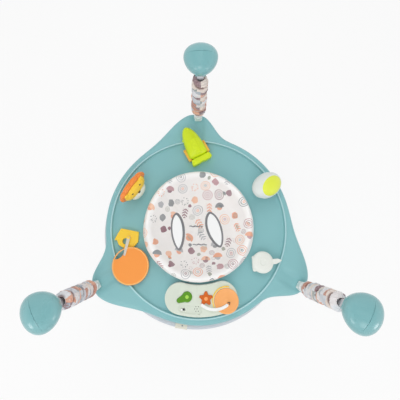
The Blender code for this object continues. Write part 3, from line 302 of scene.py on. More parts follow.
cream_plastic = finish("cream_plastic", 232, 229, 214, rough=0.42)
barrel = bent_rod(
    COUPLER_RADIUS - COUPLER_BEAD, RING_RADIUS, COUPLER_BEARING - COUPLER_HALF_DEG,
    COUPLER_BEARING + COUPLER_HALF_DEG, 14, RING_HEIGHT, 36)
for end in (-1, 1):
    middle = COUPLER_BEARING + end * (COUPLER_HALF_DEG - 0.42)
    bead = bent_rod(COUPLER_RADIUS, RING_RADIUS, middle - 0.42, middle + 0.42, 3, RING_HEIGHT, 36)
    barrel = joined(barrel, bead)
rims = [e for e in barrel.edges if len(e.link_faces) == 2 and e.calc_face_angle() > 1.0]
bmesh.ops.bevel(barrel, geom=rims, offset=0.0004, segments=2, profile=0.5, affect="EDGES", material=-1)
coupler = piece("ring_coupler", set_at(barrel, Matrix.Translation(AXIS)), cream_plastic)
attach(coupler, "frame")
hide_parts("base_coupler")

zinc = finish("zinc_plate", 178, 181, 184, rough=0.3, drift=0.05, metal=1.0, grain=900.0)
dome = [(SNAP_BUTTON_RADIUS * math.sin(a), 0, SNAP_BUTTON_RADIUS * 0.6 * math.cos(a))
        for a in [math.radians(step * 15) for step in range(7)]]
snap = turned(dome + [(0, 0, 0)], 20)
set_at(snap, Matrix.Translation(AXIS) @ Matrix.Rotation(math.radians(COUPLER_BEARING + 0.6), 4, "Z")
       @ Matrix.Translation((RING_RADIUS, 0, RING_HEIGHT + COUPLER_RADIUS - COUPLER_BEAD - 0.0005)))
snap_button = piece("coupler_snap_button", snap, zinc)
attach(snap_button, "frame")


# Each foot is a teal moulded housing that clamps two ring tubes and a post. It has a collar round the
# post, a sunk screw hole on its inner side, and a dark rubber pad underneath.

FOOT_WIDTH = 0.072
FOOT_DEPTH = 0.046
FOOT_HEIGHT = 0.050
PAD_THICKNESS = 0.002
POST_RADIUS = 0.0125
CAP_RADIUS = 0.388
CAP_HEIGHT = 0.700
POST_OUT_IN_CAP = 0.0165
POST_SLOPE = (CAP_RADIUS + POST_OUT_IN_CAP - RING_RADIUS) / (CAP_HEIGHT - RING_HEIGHT)

teal_plastic = finish("teal_plastic", 139, 193, 197, rough=0.42, drift=0.03)
dark_rubber = finish("dark_rubber", 62, 64, 66, rough=0.7, relief=0.3)


def block(low, high, round_off=0.0, segments=3):
    """A box between two corners with its edges rounded."""
    shape = bmesh.new()
    bmesh.ops.create_cube(shape, size=1.0)
    bmesh.ops.scale(shape, vec=[b - a for a, b in zip(low, high)], verts=shape.verts)
    bmesh.ops.translate(shape, vec=[(a + b) / 2 for a, b in zip(low, high)], verts=shape.verts)
    if round_off:
        bmesh.ops.bevel(
            shape, geom=shape.edges[:], offset=round_off, segments=segments, profile=0.5, affect="EDGES", material=-1)
    return shape


def at_post(bearing):
    """The frame of one post: X outwards from the axis, Z up, on the floor."""
    return Matrix.Translation(AXIS) @ Matrix.Rotation(math.radians(bearing), 4, "Z")


housing = block(
    (-FOOT_DEPTH / 2, -FOOT_WIDTH / 2, PAD_THICKNESS), (FOOT_DEPTH / 2, FOOT_WIDTH / 2, FOOT_HEIGHT), 0.009, 5)
for vert in housing.verts:
    rise = max(0.0, vert.co.z - 0.020) / (FOOT_HEIGHT - 0.020)
    vert.co.x *= 1 - 0.14 * rise
    vert.co.y *= 1 - 0.30 * rise ** 1.5
collar = turned([
    (POST_RADIUS + 0.0003, 0, 0), (POST_RADIUS + 0.0052, 0, 0), (POST_RADIUS + 0.0052, 0, 0.0075),
    (POST_RADIUS + 0.0040, 0, 0.0090), (POST_RADIUS + 0.0012, 0, 0.0090), (POST_RADIUS + 0.0003, 0, 0.0080),
    (POST_RADIUS + 0.0003, 0, 0)], 40)
set_at(collar, Matrix.Translation(((FOOT_HEIGHT - RING_HEIGHT) * POST_SLOPE, 0, FOOT_HEIGHT - 0.002))
       @ Matrix.Rotation(math.atan(POST_SLOPE), 4, "Y"))
sleeves = [
    bent_rod(RING_TUBE_RADIUS + 0.0032, RING_RADIUS, side * 4.9 - 0.9, side * 4.9 + 0.9, 4, RING_HEIGHT, 32)
    for side in (-1, 1)]
screw_seat = turned([(0, 0, 0), (0.0024, 0, 0), (0.0036, 0, 0.0012), (0.0048, 0, 0.0012), (0.0052, 0, 0)], 24)
set_at(screw_seat, Matrix.Translation((-FOOT_DEPTH / 2 + 0.0012, 0, 0.026)) @ Matrix.Rotation(math.radians(-93), 4, "Y"))
body = joined(housing, collar, screw_seat)
set_at(body, Matrix.Translation((RING_RADIUS, 0, 0)))
body = joined(body, *sleeves)
pad = block((-0.018, -0.030, 0.0), (0.018, 0.030, PAD_THICKNESS + 0.0004), 0.0007, 2)
set_at(pad, Matrix.Translation((RING_RADIUS, 0, 0)))
for side, bearing in POSTS.items():
    foot = piece(f"foot_housing_{side}", set_at(body.copy(), at_post(bearing)), teal_plastic)
    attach(foot, "frame")
    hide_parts(f"foot_{side}")
    foot_pad = piece(f"foot_pad_{side}", set_at(pad.copy(), at_post(bearing)), dark_rubber)
    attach(foot_pad, "frame")
body.free()
pad.free()


# Each post is two powder coated steel tubes, the lower one swaged to fit inside the upper. A steel
# snap button locks them. It leans outwards from its foot into the cap.

POST_FOOT = RING_HEIGHT - RING_TUBE_RADIUS + 0.002
POST_IN_CAP = 0.012
JOINT_UP = 0.300
POST_LEAN = math.atan(POST_SLOPE)

post_length = (CAP_HEIGHT + POST_IN_CAP - POST_FOOT) / math.cos(POST_LEAN)
post_line = [
    (0, 0, 0), (POST_RADIUS - 0.0008, 0, 0), (POST_RADIUS, 0, 0.0008), (POST_RADIUS, 0, JOINT_UP - 0.006),
    (POST_RADIUS - 0.0004, 0, JOINT_UP - 0.003), (POST_RADIUS - 0.0009, 0, JOINT_UP - 0.0012),
    (POST_RADIUS - 0.0009, 0, JOINT_UP), (POST_RADIUS - 0.0003, 0, JOINT_UP), (POST_RADIUS, 0, JOINT_UP + 0.0005),
    (POST_RADIUS, 0, post_length - 0.0008), (POST_RADIUS - 0.0008, 0, post_length), (0, 0, post_length),
]
post_shape = turned(post_line, 48)
button = turned(dome + [(0, 0, 0)], 20)
set_at(button, Matrix.Translation((-POST_RADIUS + 0.0004, 0, JOINT_UP + 0.028)) @ Matrix.Rotation(math.radians(-90), 4, "Y"))
post_place = Matrix.Translation((RING_RADIUS + (POST_FOOT - RING_HEIGHT) * POST_SLOPE, 0, POST_FOOT))
post_place = post_place @ Matrix.Rotation(POST_LEAN, 4, "Y")
for side, bearing in POSTS.items():
    post = piece(f"post_tube_{side}", set_at(post_shape.copy(), at_post(bearing) @ post_place), powder_coat)
    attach(post, "frame")
    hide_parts(f"post_{side}")
    lock = piece(f"post_button_{side}", set_at(button.copy(), at_post(bearing) @ post_place), zinc)
    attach(lock, "frame")
post_shape.free()
button.free()


# A cap tops each post: two teal shells screwed together, that meet at a crease outboard of the
# middle. The inner shell is flattened towards the tray and holds the bar that the strap hangs from.

CAP_IN = 0.0422
CAP_OUT = 0.0412
CAP_HALF_WIDTH = 0.0428
CAP_TAPER = 0.13
CAP_UP = 0.0350
CAP_DOWN = 0.040
CAP_SPLIT = 0.0045
CREASE = 0.0003
BAR_IN = 0.022
BAR_DROP = 0.010
STRAP_LEAN = math.atan2(0.021, 0.260)

# The caps' teal is a darker copy of the tray's teal: painted shade.
cap_teal_shaded = finish("cap_teal_shaded", 124, 180, 184, rough=0.30, drift=0.03, coat=0.6)


def cap_half(keep_out):
    """One of the cap's two shells, as a closed body with a softened edge along the crease."""
    shape = bmesh.new()
    bmesh.ops.create_uvsphere(shape, u_segments=72, v_segments=40, radius=1.0)
    for vert in shape.verts:
        x, y, z = vert.co
        inwards = max(0.0, (CAP_SPLIT / CAP_OUT - x) / (1 + CAP_SPLIT / CAP_OUT))
        rise = CAP_UP * (1 - 0.14 * math.sin(math.pi * min(1.0, inwards * 0.9))) if z > 0 else CAP_DOWN
        vert.co = (x * (CAP_OUT if x > 0 else CAP_IN), y * CAP_HALF_WIDTH * (1 + CAP_TAPER * x), z * rise)
    bmesh.ops.bisect_plane(
        shape, geom=shape.verts[:] + shape.edges[:] + shape.faces[:], plane_co=(CAP_SPLIT, 0, 0),
        plane_no=(1, 0, 0), clear_inner=keep_out, clear_outer=not keep_out)
    rim = [edge for edge in shape.edges if edge.is_boundary]
    for vert in {vert for edge in rim for vert in edge.verts}:
        gap = 0.00003 + CREASE * min(1.0, max(0.0, vert.co.z / CAP_UP - 0.55) * 3)
        vert.co.x += gap if keep_out else -gap
    lid = bmesh.ops.contextual_create(shape, geom=rim)["faces"]
    bmesh.ops.bevel(
        shape, geom=[edge for face in lid for edge in face.edges], offset=0.0004, segments=2, profile=0.5,
        affect="EDGES", material=-1, clamp_overlap=True)
    bmesh.ops.recalc_face_normals(shape, faces=shape.faces)
    return shape


slot_frame = block((-0.0060, -0.0135, -0.0020), (0.0060, 0.0135, 0.0015), 0.0012, 2)
set_at(slot_frame, Matrix.Translation((-BAR_IN - 0.0042, 0, -CAP_DOWN * 0.80)) @ Matrix.Rotation(STRAP_LEAN + 0.32, 4, "Y"))
inner_half = joined(cap_half(False), slot_frame)
outer_half = cap_half(True)
cap_screw = turned([(0, 0, 0), (0.0026, 0, 0), (0.0030, 0, 0.0008), (0.0044, 0, 0.0008), (0.0050, 0, -0.0004)], 24)
set_at(cap_screw, Matrix.Translation((CAP_OUT - 0.0042, 0, -0.0150)) @ Matrix.Rotation(math.radians(112), 4, "Y"))
outer_half = joined(outer_half, cap_screw)
for side, bearing in POSTS.items():
    cap_place = at_post(bearing) @ Matrix.Translation((CAP_RADIUS, 0, CAP_HEIGHT))
    cap_inner = piece(f"cap_shell_in_{side}", set_at(inner_half.copy(), cap_place), cap_teal_shaded, 50.0)
    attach(cap_inner, "frame")
    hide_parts(f"cap_inner_{side}")
    cap_outer = piece(f"cap_shell_out_{side}", set_at(outer_half.copy(), cap_place), cap_teal_shaded, 50.0)
    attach(cap_outer, "frame")
    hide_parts(f"cap_outer_{side}")
inner_half.free()
outer_half.free()


# A strap of white webbing hangs from the bar inside each cap. It is one band folded into a loop at each
# end, and box stitched: the upper loop goes round the bar, the lower one through the spring's end.

HOOK_RADIUS = 0.345
GROOVE_FLOOR = 0.3895
EYE_HEIGHT = 0.430
EYE = Vector((HOOK_RADIUS, 0.0, EYE_HEIGHT))
STRAP_SPAN = math.hypot(0.021, 0.260)
STRAP_WIDTH = 0.018
BAND_THICKNESS = 0.0013
SPRING_LENGTH = 0.168
LOWER_LOOP = 0.0035
UPPER_LOOP = 0.0047
STITCH_PITCH = 0.0026


def coordinates(name, shape, spot):
    """Gives each corner of a mesh a place on its cloth, in metres, by a function of the corner's point."""
    layer = shape.loops.layers.uv.new(name)
    for face in shape.faces:
        for loop in face.loops:
            loop[layer].uv = spot(loop.vert.co)
    return shape


def woven(name, red, green, blue, thread, rough=0.85, relief=0.35, stitched=False):
    """Plain woven cloth whose threads follow the piece's own coordinates, with painted shade in the weave's hollows,
    fuzz and faint soiling.
    """
    made = bpy.data.materials.new(name)
    made.use_nodes = True
    tree = made.node_tree
    shader = tree.nodes["Principled BSDF"]
    shader.inputs["Roughness"].default_value = rough
    shader.inputs["Sheen Weight"].default_value = 0.25
    shader.inputs["Sheen Roughness"].default_value = 0.5
    cloth = add(tree, "UVMap", uv_map="cloth")
    across = add(tree, "VectorMath", cloth, (1 / thread, 1 / thread, 0), operation="MULTIPLY")
    split = tree.nodes.new("ShaderNodeSeparateXYZ")
    tree.links.new(across, split.inputs[0])
    warp = add(tree, "Math", add(tree, "Math", split.outputs[0], math.pi, operation="MULTIPLY"), operation="SINE")
    weft = add(tree, "Math", add(tree, "Math", split.outputs[1], math.pi, operation="MULTIPLY"), operation="SINE")
    weave = add(tree, "Math", warp, weft, operation="MULTIPLY")
    height = add(tree, "MapRange", weave, -1.0, 1.0, 0.0, 1.0)
    colour = paint(red, green, blue)
    shade_and_soil = (*[c * 0.80 for c in colour[:3]], 1.0)
    soil = add(tree, "TexNoise", cloth, None, 45.0, 3.0)
    # Painted shade: the weave's low points are darkened, and the soiling uses the same darker tone.
    tone = mixed(tree, height, shade_and_soil, colour)
    tone = mixed(tree, add(tree, "MapRange", soil, 0.35, 0.75, 0.0, 0.25), tone, shade_and_soil)
    if stitched:
        place = tree.nodes.new("ShaderNodeSeparateXYZ")
        tree.links.new(cloth, place.inputs[0])
        edge = add(tree, "Math", place.outputs[0], operation="ABSOLUTE")
        row = add(tree, "Math", edge, STRAP_WIDTH / 2 - 0.0026, 0.0005, operation="COMPARE")
        dash = add(tree, "Math", add(tree, "Math", place.outputs[1], STITCH_PITCH, operation="PINGPONG"),
                   STITCH_PITCH * 0.3, operation="GREATER_THAN")
        seam = add(tree, "Math", row, dash, operation="MULTIPLY")
        tone = mixed(tree, seam, tone, paint(200, 203, 210))
        height = add(tree, "Math", height, add(tree, "Math", seam, 2.0, operation="MULTIPLY"), operation="ADD")
    tree.links.new(tone, shader.inputs["Base Color"])
    bumped(tree, shader, height, relief, 0.0003)
    return made


def on_strap(bearing):
    """The frame of one strap: Z up along it from the hook's eye, Y across the webbing."""
    return at_post(bearing) @ Matrix.Translation(EYE) @ Matrix.Rotation(STRAP_LEAN, 4, "Y")


webbing = woven("white_webbing", 238, 240, 246, 0.0009, stitched=True)
band = bmesh.new()
path = []
for centre, radius, start in ((SPRING_LENGTH, LOWER_LOOP, 90), (STRAP_SPAN, UPPER_LOOP, -90)):
    shy = math.degrees(math.asin(BAND_THICKNESS / 2 / radius))
    for step in range(15):
        turn = math.radians(start + shy + (360 - 2 * shy) * step / 14)
        path.append(Vector((radius * math.cos(turn), -STRAP_WIDTH / 2, centre + radius * math.sin(turn))))
spots = [band.verts.new(point) for point in path]
edges = [band.edges.new(pair) for pair in zip(spots, spots[1:] + spots[:1])]
for step in range(6):
    grown = bmesh.ops.extrude_edge_only(band, edges=edges)["geom"]
    bmesh.ops.translate(
        band, vec=(0, STRAP_WIDTH / 6, 0), verts=[part for part in grown if isinstance(part, bmesh.types.BMVert)])
    edges = [part for part in grown if isinstance(part, bmesh.types.BMEdge) and part.is_boundary]
bmesh.ops.subdivide_edges(
    band, edges=[edge for edge in band.edges if edge.calc_length() > 0.01], cuts=12, use_grid_fill=True)
bmesh.ops.recalc_face_normals(band, faces=band.faces)
for vert in band.verts:
    vert.co.x += 0.0003 * math.sin(vert.co.z * 90 + vert.co.y * 60)
coordinates("cloth", band, lambda point: (point.y, point.z))
for side, bearing in POSTS.items():
    strap = piece(f"webbing_strap_{side}", set_at(band.copy(), on_strap(bearing)), webbing, 60.0)
    thick = strap.modifiers.new("Webbing", "SOLIDIFY")
    thick.thickness = BAND_THICKNESS
    thick.offset = -1.0
    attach(strap, "frame")
    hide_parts(f"strap_{side}")
band.free()


# A tension spring of drawn steel wire joins each hook's eye to its strap. Each end of the wire is bent
# across through the eye or the loop. The spring is hidden in the sleeve and stretches as the tray drops.

COIL_RADIUS = 0.012
WIRE_RADIUS = 0.0013
COIL_TURNS = 6

spring_steel = finish("spring_steel", 176, 178, 180, rough=0.28, drift=0.06, metal=1.0, grain=1200.0)
coil = bmesh.new()
bmesh.ops.create_circle(coil, cap_ends=True, segments=12, radius=WIRE_RADIUS)
set_at(coil, Matrix.Translation((0, COIL_RADIUS, 0)) @ Matrix.Rotation(math.radians(90), 4, "Y"))
steps = COIL_TURNS * 28
bmesh.ops.spin(
    coil, geom=coil.verts[:] + coil.edges[:] + coil.faces[:], cent=(0, 0, 0), axis=(0, 0, 1),
    dvec=(0, 0, SPRING_LENGTH / steps), angle=COIL_TURNS * 2 * math.pi, steps=steps, use_merge=False)
for end in (0.0, SPRING_LENGTH):
    tail = bmesh.new()
    bmesh.ops.create_cone(
        tail, cap_ends=True, segments=12, radius1=WIRE_RADIUS, radius2=WIRE_RADIUS, depth=COIL_RADIUS * 2)
    set_at(tail, Matrix.Translation((0, 0, end)) @ Matrix.Rotation(math.radians(90), 4, "X"))
    coil = joined(coil, tail)
bmesh.ops.recalc_face_normals(coil, faces=coil.faces)
for side, bearing in POSTS.items():
    spring = piece(f"coil_spring_{side}", set_at(coil.copy(), on_strap(bearing)), spring_steel)
    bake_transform(spring)
    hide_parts(f"spring_{side}")
coil.free()


# A tube of printed cotton, far longer than the spring, is gathered over it in crumpled folds that
# tilt this way and that. It is sewn shut round the strap at the top and sits on the hook's collar.

SLEEVE_LOW = 0.020
SLEEVE_HIGH = STRAP_SPAN - 0.046
SLEEVE_WAIST = 0.0146
SLEEVE_BULGE = 0.0222
SLEEVE_ROLLS = 8
SLEEVE_AROUND = 56
SLEEVE_ALONG = 190
CLOTH_THICKNESS = 0.0007


def lines_to(tree, *colours):
    """A colour for a random number from 0 to 1, one of several set side by side."""
    ramp = tree.nodes.new("ShaderNodeValToRGB")
    ramp.color_ramp.interpolation = "CONSTANT"
    for index, colour in enumerate(colours):
        stop = ramp.color_ramp.elements[index] if index < 2 else ramp.color_ramp.elements.new(index / len(colours))
        stop.position = index / len(colours)
        stop.color = colour
    return ramp


def gathered_print(name):
    """Bunched printed cotton: strips of plum, peach, grey and white that follow the folds, with painted shade darkening
    the crevices between the rolls.
    """
    made = bpy.data.materials.new(name)
    made.use_nodes = True
    tree = made.node_tree
    shader = tree.nodes["Principled BSDF"]
    shader.inputs["Roughness"].default_value = 0.88
    shader.inputs["Sheen Weight"].default_value = 0.3
    cloth = add(tree, "UVMap", uv_map="cloth")
    warped = tree.nodes.new("ShaderNodeTexNoise")
    warped.inputs["Scale"].default_value = 30.0
    tree.links.new(cloth, warped.inputs["Vector"])
    shift = add(tree, "VectorMath", warped.outputs["Color"], (0.028, 0.020, 0.0), operation="MULTIPLY")
    bent = add(tree, "VectorMath", cloth, shift, operation="ADD")
    stretched = add(tree, "VectorMath", bent, (13.0, 34.0, 0.0), operation="MULTIPLY")
    cells = tree.nodes.new("ShaderNodeTexVoronoi")
    cells.inputs["Scale"].default_value = 1.0
    cells.inputs["Randomness"].default_value = 0.9
    tree.links.new(stretched, cells.inputs["Vector"])
    pick = tree.nodes.new("ShaderNodeSeparateColor")
    tree.links.new(cells.outputs["Color"], pick.inputs[0])
    ramp = lines_to(
        tree, paint(238, 232, 232), paint(233, 172, 144), paint(150, 118, 124), paint(214, 218, 226),
        paint(178, 186, 196), paint(240, 226, 216), paint(202, 138, 116), paint(160, 168, 166), paint(236, 236, 240))
    tree.links.new(pick.outputs[0], ramp.inputs[0])
    fine = add(tree, "TexNoise", cloth, None, 240.0, 3.0)
    tone = mixed(tree, add(tree, "MapRange", fine, 0.40, 0.70, 0.0, 0.30), ramp.outputs[0], paint(246, 242, 242))
    # Painted shade: where the roll height is low, in the crevices between the rolls, the cloth is darkened towards a
    # deep plum-brown.
    fold = tree.nodes.new("ShaderNodeAttribute")
    fold.attribute_name = "fold"
    tone = mixed(tree, add(tree, "MapRange", fold.outputs["Fac"], 0.15, 0.60, 0.80, 0.0), tone, paint(118, 80, 78))
    tree.links.new(tone, shader.inputs["Base Color"])
    thread = add(tree, "TexNoise", cloth, None, 1400.0, 2.0)
    bumped(tree, shader, thread, 0.3, 0.0004)
    return made


sleeve_cotton = gathered_print("gathered_cotton")
SLEEVE_LENGTH = SLEEVE_HIGH - SLEEVE_LOW
for index, (side, bearing) in enumerate(POSTS.items()):
    tube = bmesh.new()
    bmesh.ops.create_cone(
        tube, cap_ends=False, segments=SLEEVE_AROUND, radius1=1.0, radius2=1.0, depth=SLEEVE_LENGTH)
    upright = [edge for edge in tube.edges if edge.calc_length() > SLEEVE_LENGTH * 0.9]
    bmesh.ops.subdivide_edges(tube, edges=upright, cuts=SLEEVE_ALONG, use_grid_fill=True)
    seed = Vector((3.1 * index + 1.7, 5.3 * index, 2.9))
    rolls = []
    for roll in range(SLEEVE_ROLLS):
        chance = noise.noise_vector(seed + Vector((roll * 1.7, 0.4, 0.0)))
        rolls.append((
            (roll + 0.5 + 0.35 * chance.x) / SLEEVE_ROLLS, 2.2 * roll + 3 * chance.y, 0.044 + 0.030 * chance.z,
            1.0 + 0.25 * chance.y))
    shade_roll_layer = tube.verts.layers.float.new("fold")
    for vert in tube.verts:
        turn = math.atan2(vert.co.y, vert.co.x)
        up = vert.co.z / SLEEVE_LENGTH + 0.5
        round_x, round_y = math.cos(turn), math.sin(turn)
        wander = 0.012 * noise.noise(seed + Vector((round_x * 1.6, round_y * 1.6, up * 5.0)))
        wave = 0.0
        for middle, way, tilt, size in rolls:
            off = (up + wander - middle - tilt * math.cos(turn - way)) * SLEEVE_ROLLS / 0.62
            wave = max(wave, size * math.sqrt(max(0.0, 1 - off * off)))
        crumple = noise.noise(seed + Vector((round_x * 2.6, round_y * 2.6, up * 26.0)))
        crease = abs(noise.noise(seed + Vector((round_x * 1.4 + 7.0, round_y * 1.4, up * 48.0))))
        reach = SLEEVE_WAIST + (SLEEVE_BULGE - SLEEVE_WAIST) * wave + 0.0007 * crumple - 0.0007 * crease
        hem = min(up, 1 - up)
        reach -= 0.0010 * max(0.0, 1 - hem / 0.03)
        reach += (0.0104 - reach) * min(1.0, max(0.0, up - 0.93) / 0.06) ** 2
        sag = 0.0030 * wave * math.cos(turn * 2 + 6 * crumple) * min(1.0, hem * 18)
        # Each point's roll height is kept for the cloth's painted shade in the crevices.
        vert[shade_roll_layer] = min(1.0, wave)
        vert.co = (reach * round_x, reach * round_y, SLEEVE_LOW + SLEEVE_LENGTH * up - sag)
    layer = tube.loops.layers.uv.new("cloth")
    for face in tube.faces:
        turns = [math.atan2(loop.vert.co.y, loop.vert.co.x) for loop in face.loops]
        wrap = max(turns) - min(turns) > math.pi
        for loop, turn in zip(face.loops, turns):
            point = loop.vert.co
            around = (turn + 2 * math.pi if wrap and turn < 0 else turn) * SLEEVE_BULGE
            fold = math.hypot(point.x, point.y) * 1.6
            loop[layer].uv = (around + index * 0.3, point.z * 1.9 + fold)
    bmesh.ops.recalc_face_normals(tube, faces=tube.faces)
    sleeve = piece(f"gathered_sleeve_{side}", set_at(tube, on_strap(bearing)), sleeve_cotton, 180.0)
    cloth = sleeve.modifiers.new("Cloth", "SOLIDIFY")
    cloth.thickness = CLOTH_THICKNESS
    cloth.offset = -1.0
    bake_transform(sleeve)
    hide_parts(f"sleeve_{side}")


# A pale moulded hook block is pressed into the groove of each tray lobe. Its round collar carries the
# sleeve's lower hem, and the spring's end goes through the eye at the top.

HOOK_LENGTH = 0.024
HOOK_WIDTH = 0.022
HOOK_THICKNESS = 0.0132
COLLAR_RADIUS = 0.0141

pale_plastic = finish("pale_plastic", 238, 244, 242, rough=0.45)
foot_of = GROOVE_FLOOR - EYE_HEIGHT + 0.0003
top_of = foot_of + HOOK_THICKNESS
inset = math.sin(STRAP_LEAN) * (GROOVE_FLOOR - EYE_HEIGHT)
hook = block(
    (inset - HOOK_LENGTH / 2, -HOOK_WIDTH / 2, foot_of), (inset + HOOK_LENGTH / 2, HOOK_WIDTH / 2, top_of), 0.0028, 4)
stem = block((inset - 0.0066, -0.0066, foot_of - 0.0135), (inset + 0.0066, 0.0066, foot_of + 0.004), 0.0008, 2)
collar_line = [
    (0, 0, -0.034), (COLLAR_RADIUS - 0.0004, 0, -0.034), (COLLAR_RADIUS - 0.0004, 0, -0.0155),
    (COLLAR_RADIUS, 0, -0.0145), (COLLAR_RADIUS, 0, -0.0130), (COLLAR_RADIUS - 0.0010, 0, -0.0122), (0, 0, -0.0122)]
collar = set_at(turned(collar_line, 40), Matrix.Rotation(STRAP_LEAN, 4, "Y"))
loop_line = [
    Vector((0.0036 + 0.0015 * math.cos(a), 0, 0.0028 * math.sin(a)))
    for a in [math.radians(30 * step) for step in range(13)]]
eye = turned(loop_line, 32)
set_at(eye, Matrix.Rotation(STRAP_LEAN, 4, "Y") @ Matrix.Rotation(math.radians(90), 4, "X"))
eye_stalk = block((-0.0040, -0.0026, -0.0145), (0.0040, 0.0026, -0.0034), 0.0008, 2)
set_at(eye_stalk, Matrix.Rotation(STRAP_LEAN, 4, "Y"))
hook = joined(hook, stem, collar, eye, eye_stalk)
for side, bearing in POSTS.items():
    anchor = piece(f"hook_block_{side}", set_at(hook.copy(), at_post(bearing) @ Matrix.Translation(EYE)), pale_plastic)
    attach(anchor, "tray")
    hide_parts(f"strap_hook_{side}")
hook.free()


# The tray's top is one teal moulding: a round floor inside a raised ridge, a rounded rim that swells
# into a lobe towards each post, a valley in each lobe for its hook, and a race that the seat turns in.

TRAY_RADIUS = 0.279
LOBE_REACH = 0.0775
LOBE_TURN_DEG = 1.5
LOBE_STEEP_DEG = 12.0
LOBE_SLOW_DEG = 17.6
FLOOR_HEIGHT = 0.390
RIDGE_RADIUS = 0.260
RIDGE_RISE = 0.0112
RIM_RISE = 0.0075
GROOVE_DEPTH = 0.008
GROOVE_HALF_DEG = 2.4
GROOVE_BANK_DEG = 2.2
RACE_RADIUS = 0.1478
RACE_DROP = 0.028
COLLAR_RISE = 0.008
SKIRT_DROP = 0.038
TRAY_WALL = 0.0026
RIM_HEIGHT = FLOOR_HEIGHT + RIM_RISE


def ringed(levels, segments=288):
    """Rings about the axis, each level a function of a bearing that gives a radius and a height."""
    shape = bmesh.new()
    bmesh.ops.create_circle(shape, segments=segments, radius=1.0)
    ring = shape.verts[:]
    edges = shape.edges[:]
    for index, level in enumerate(levels):
        if index:
            grown = bmesh.ops.extrude_edge_only(shape, edges=edges)["geom"]
            ring = [part for part in grown if isinstance(part, bmesh.types.BMVert)]
            edges = [part for part in grown if isinstance(part, bmesh.types.BMEdge) and part.is_boundary]
        for vert in ring:
            bearing = math.atan2(vert.co.y, vert.co.x)
            radius, height = level(math.degrees(bearing)) if callable(level) else level
            vert.co = (radius * math.cos(bearing), radius * math.sin(bearing), height)
    bmesh.ops.recalc_face_normals(shape, faces=shape.faces)
    shape.faces.ensure_lookup_table()
    return shape


def off_post(bearing):
    """How many degrees a bearing is past the nearest post, from -60 to 60."""
    return (bearing - 90.0 + 60.0) % 120.0 - 60.0


def lobe(bearing):
    """How far the rim swells at a bearing, from 0 to 1, a little steeper on one side of each post."""
    swell = 0.0
    for lap in (-120.0, 0.0, 120.0):
        off = off_post(bearing) + lap - LOBE_TURN_DEG
        power, width = (1.9, LOBE_SLOW_DEG) if off > 0 else (2.4, LOBE_STEEP_DEG)
        swell += math.exp(-((abs(off) / width) ** power))
    return swell


def valley(bearing):
    """How deep the lobe's valley is at a bearing, from 0 to 1, with soft banks."""
    bank = (abs(off_post(bearing)) - GROOVE_HALF_DEG + 0.3) / (GROOVE_BANK_DEG + 0.3)
    along = min(1.0, max(0.0, 1.0 - bank))
    return along * along * (3 - 2 * along)


def rim(share, drop=0.0, dip=0.0, past=0.0):
    """A level of the rim: a share of the way from ridge to edge, lowered, and with its share of valley."""
    def level(bearing):
        edge = TRAY_RADIUS + LOBE_REACH * lobe(bearing)
        inner = RIDGE_RADIUS + 0.0040
        swell = 0.0022 * math.sin(math.pi * min(1.0, max(0.0, share))) * lobe(bearing)
        height = RIM_HEIGHT - drop - GROOVE_DEPTH * dip * valley(bearing) + swell * (1 - valley(bearing))
        return inner + (edge - inner) * share + past, height
    return level


inner_wall = [
    (RACE_RADIUS, FLOOR_HEIGHT - RACE_DROP), (RACE_RADIUS, FLOOR_HEIGHT - 0.010),
    (RACE_RADIUS, FLOOR_HEIGHT + COLLAR_RISE - 0.0016), (RACE_RADIUS + 0.0004, FLOOR_HEIGHT + COLLAR_RISE - 0.0005),
    (RACE_RADIUS + 0.0014, FLOOR_HEIGHT + COLLAR_RISE), (RACE_RADIUS + 0.0052, FLOOR_HEIGHT + COLLAR_RISE),
    (RACE_RADIUS + 0.0070, FLOOR_HEIGHT + COLLAR_RISE - 0.0007), (RACE_RADIUS + 0.0092, FLOOR_HEIGHT + 0.0048),
    (RACE_RADIUS + 0.0116, FLOOR_HEIGHT + 0.0014), (RACE_RADIUS + 0.0140, FLOOR_HEIGHT + 0.0003),
    (RACE_RADIUS + 0.0180, FLOOR_HEIGHT),
]
dish = [
    (0.195, FLOOR_HEIGHT - 0.0004), (0.222, FLOOR_HEIGHT - 0.0004), (0.243, FLOOR_HEIGHT),
    (RIDGE_RADIUS - 0.0058, FLOOR_HEIGHT + 0.0002), (RIDGE_RADIUS - 0.0036, FLOOR_HEIGHT + 0.0011),
    (RIDGE_RADIUS - 0.0028, FLOOR_HEIGHT + 0.0040), (RIDGE_RADIUS - 0.0022, FLOOR_HEIGHT + 0.0082),
    (RIDGE_RADIUS - 0.0014, FLOOR_HEIGHT + 0.0103), (RIDGE_RADIUS - 0.0002, FLOOR_HEIGHT + RIDGE_RISE),
    (RIDGE_RADIUS + 0.0012, FLOOR_HEIGHT + 0.0108), (RIDGE_RADIUS + 0.0024, FLOOR_HEIGHT + 0.0096),
    (RIDGE_RADIUS + 0.0030, RIM_HEIGHT + 0.0012),
]


def edge_fall(past, drop):
    """A level of the rounded outer edge, that falls away beyond the rim."""
    return rim(1.0, drop, 0.75, past)


outer = [
    rim(0.0), rim(0.06, 0.0, 0.12), rim(0.16, 0.0, 0.55), rim(0.30, 0.0, 0.92), rim(0.50, 0.0, 1.0),
    rim(0.72, 0.0, 1.0), edge_fall(-0.0115, 0.0004), edge_fall(-0.0080, 0.0011), edge_fall(-0.0048, 0.0026),
    edge_fall(-0.0022, 0.0050), edge_fall(-0.0006, 0.0085), edge_fall(0.0, 0.0130), edge_fall(-0.0004, 0.0260),
    rim(1.0, RIM_RISE + SKIRT_DROP - 0.0022, 0.0, -0.0016), rim(1.0, RIM_RISE + SKIRT_DROP - 0.0006, 0.0, -0.0016),
    rim(1.0, RIM_RISE + SKIRT_DROP, 0.0, -0.0020),
]
tray_shape = ringed(inner_wall + dish + outer)
if sum(face.normal.z for face in tray_shape.faces if face.calc_center_median().z > FLOOR_HEIGHT - 0.001) < 0:
    bmesh.ops.reverse_faces(tray_shape, faces=tray_shape.faces)
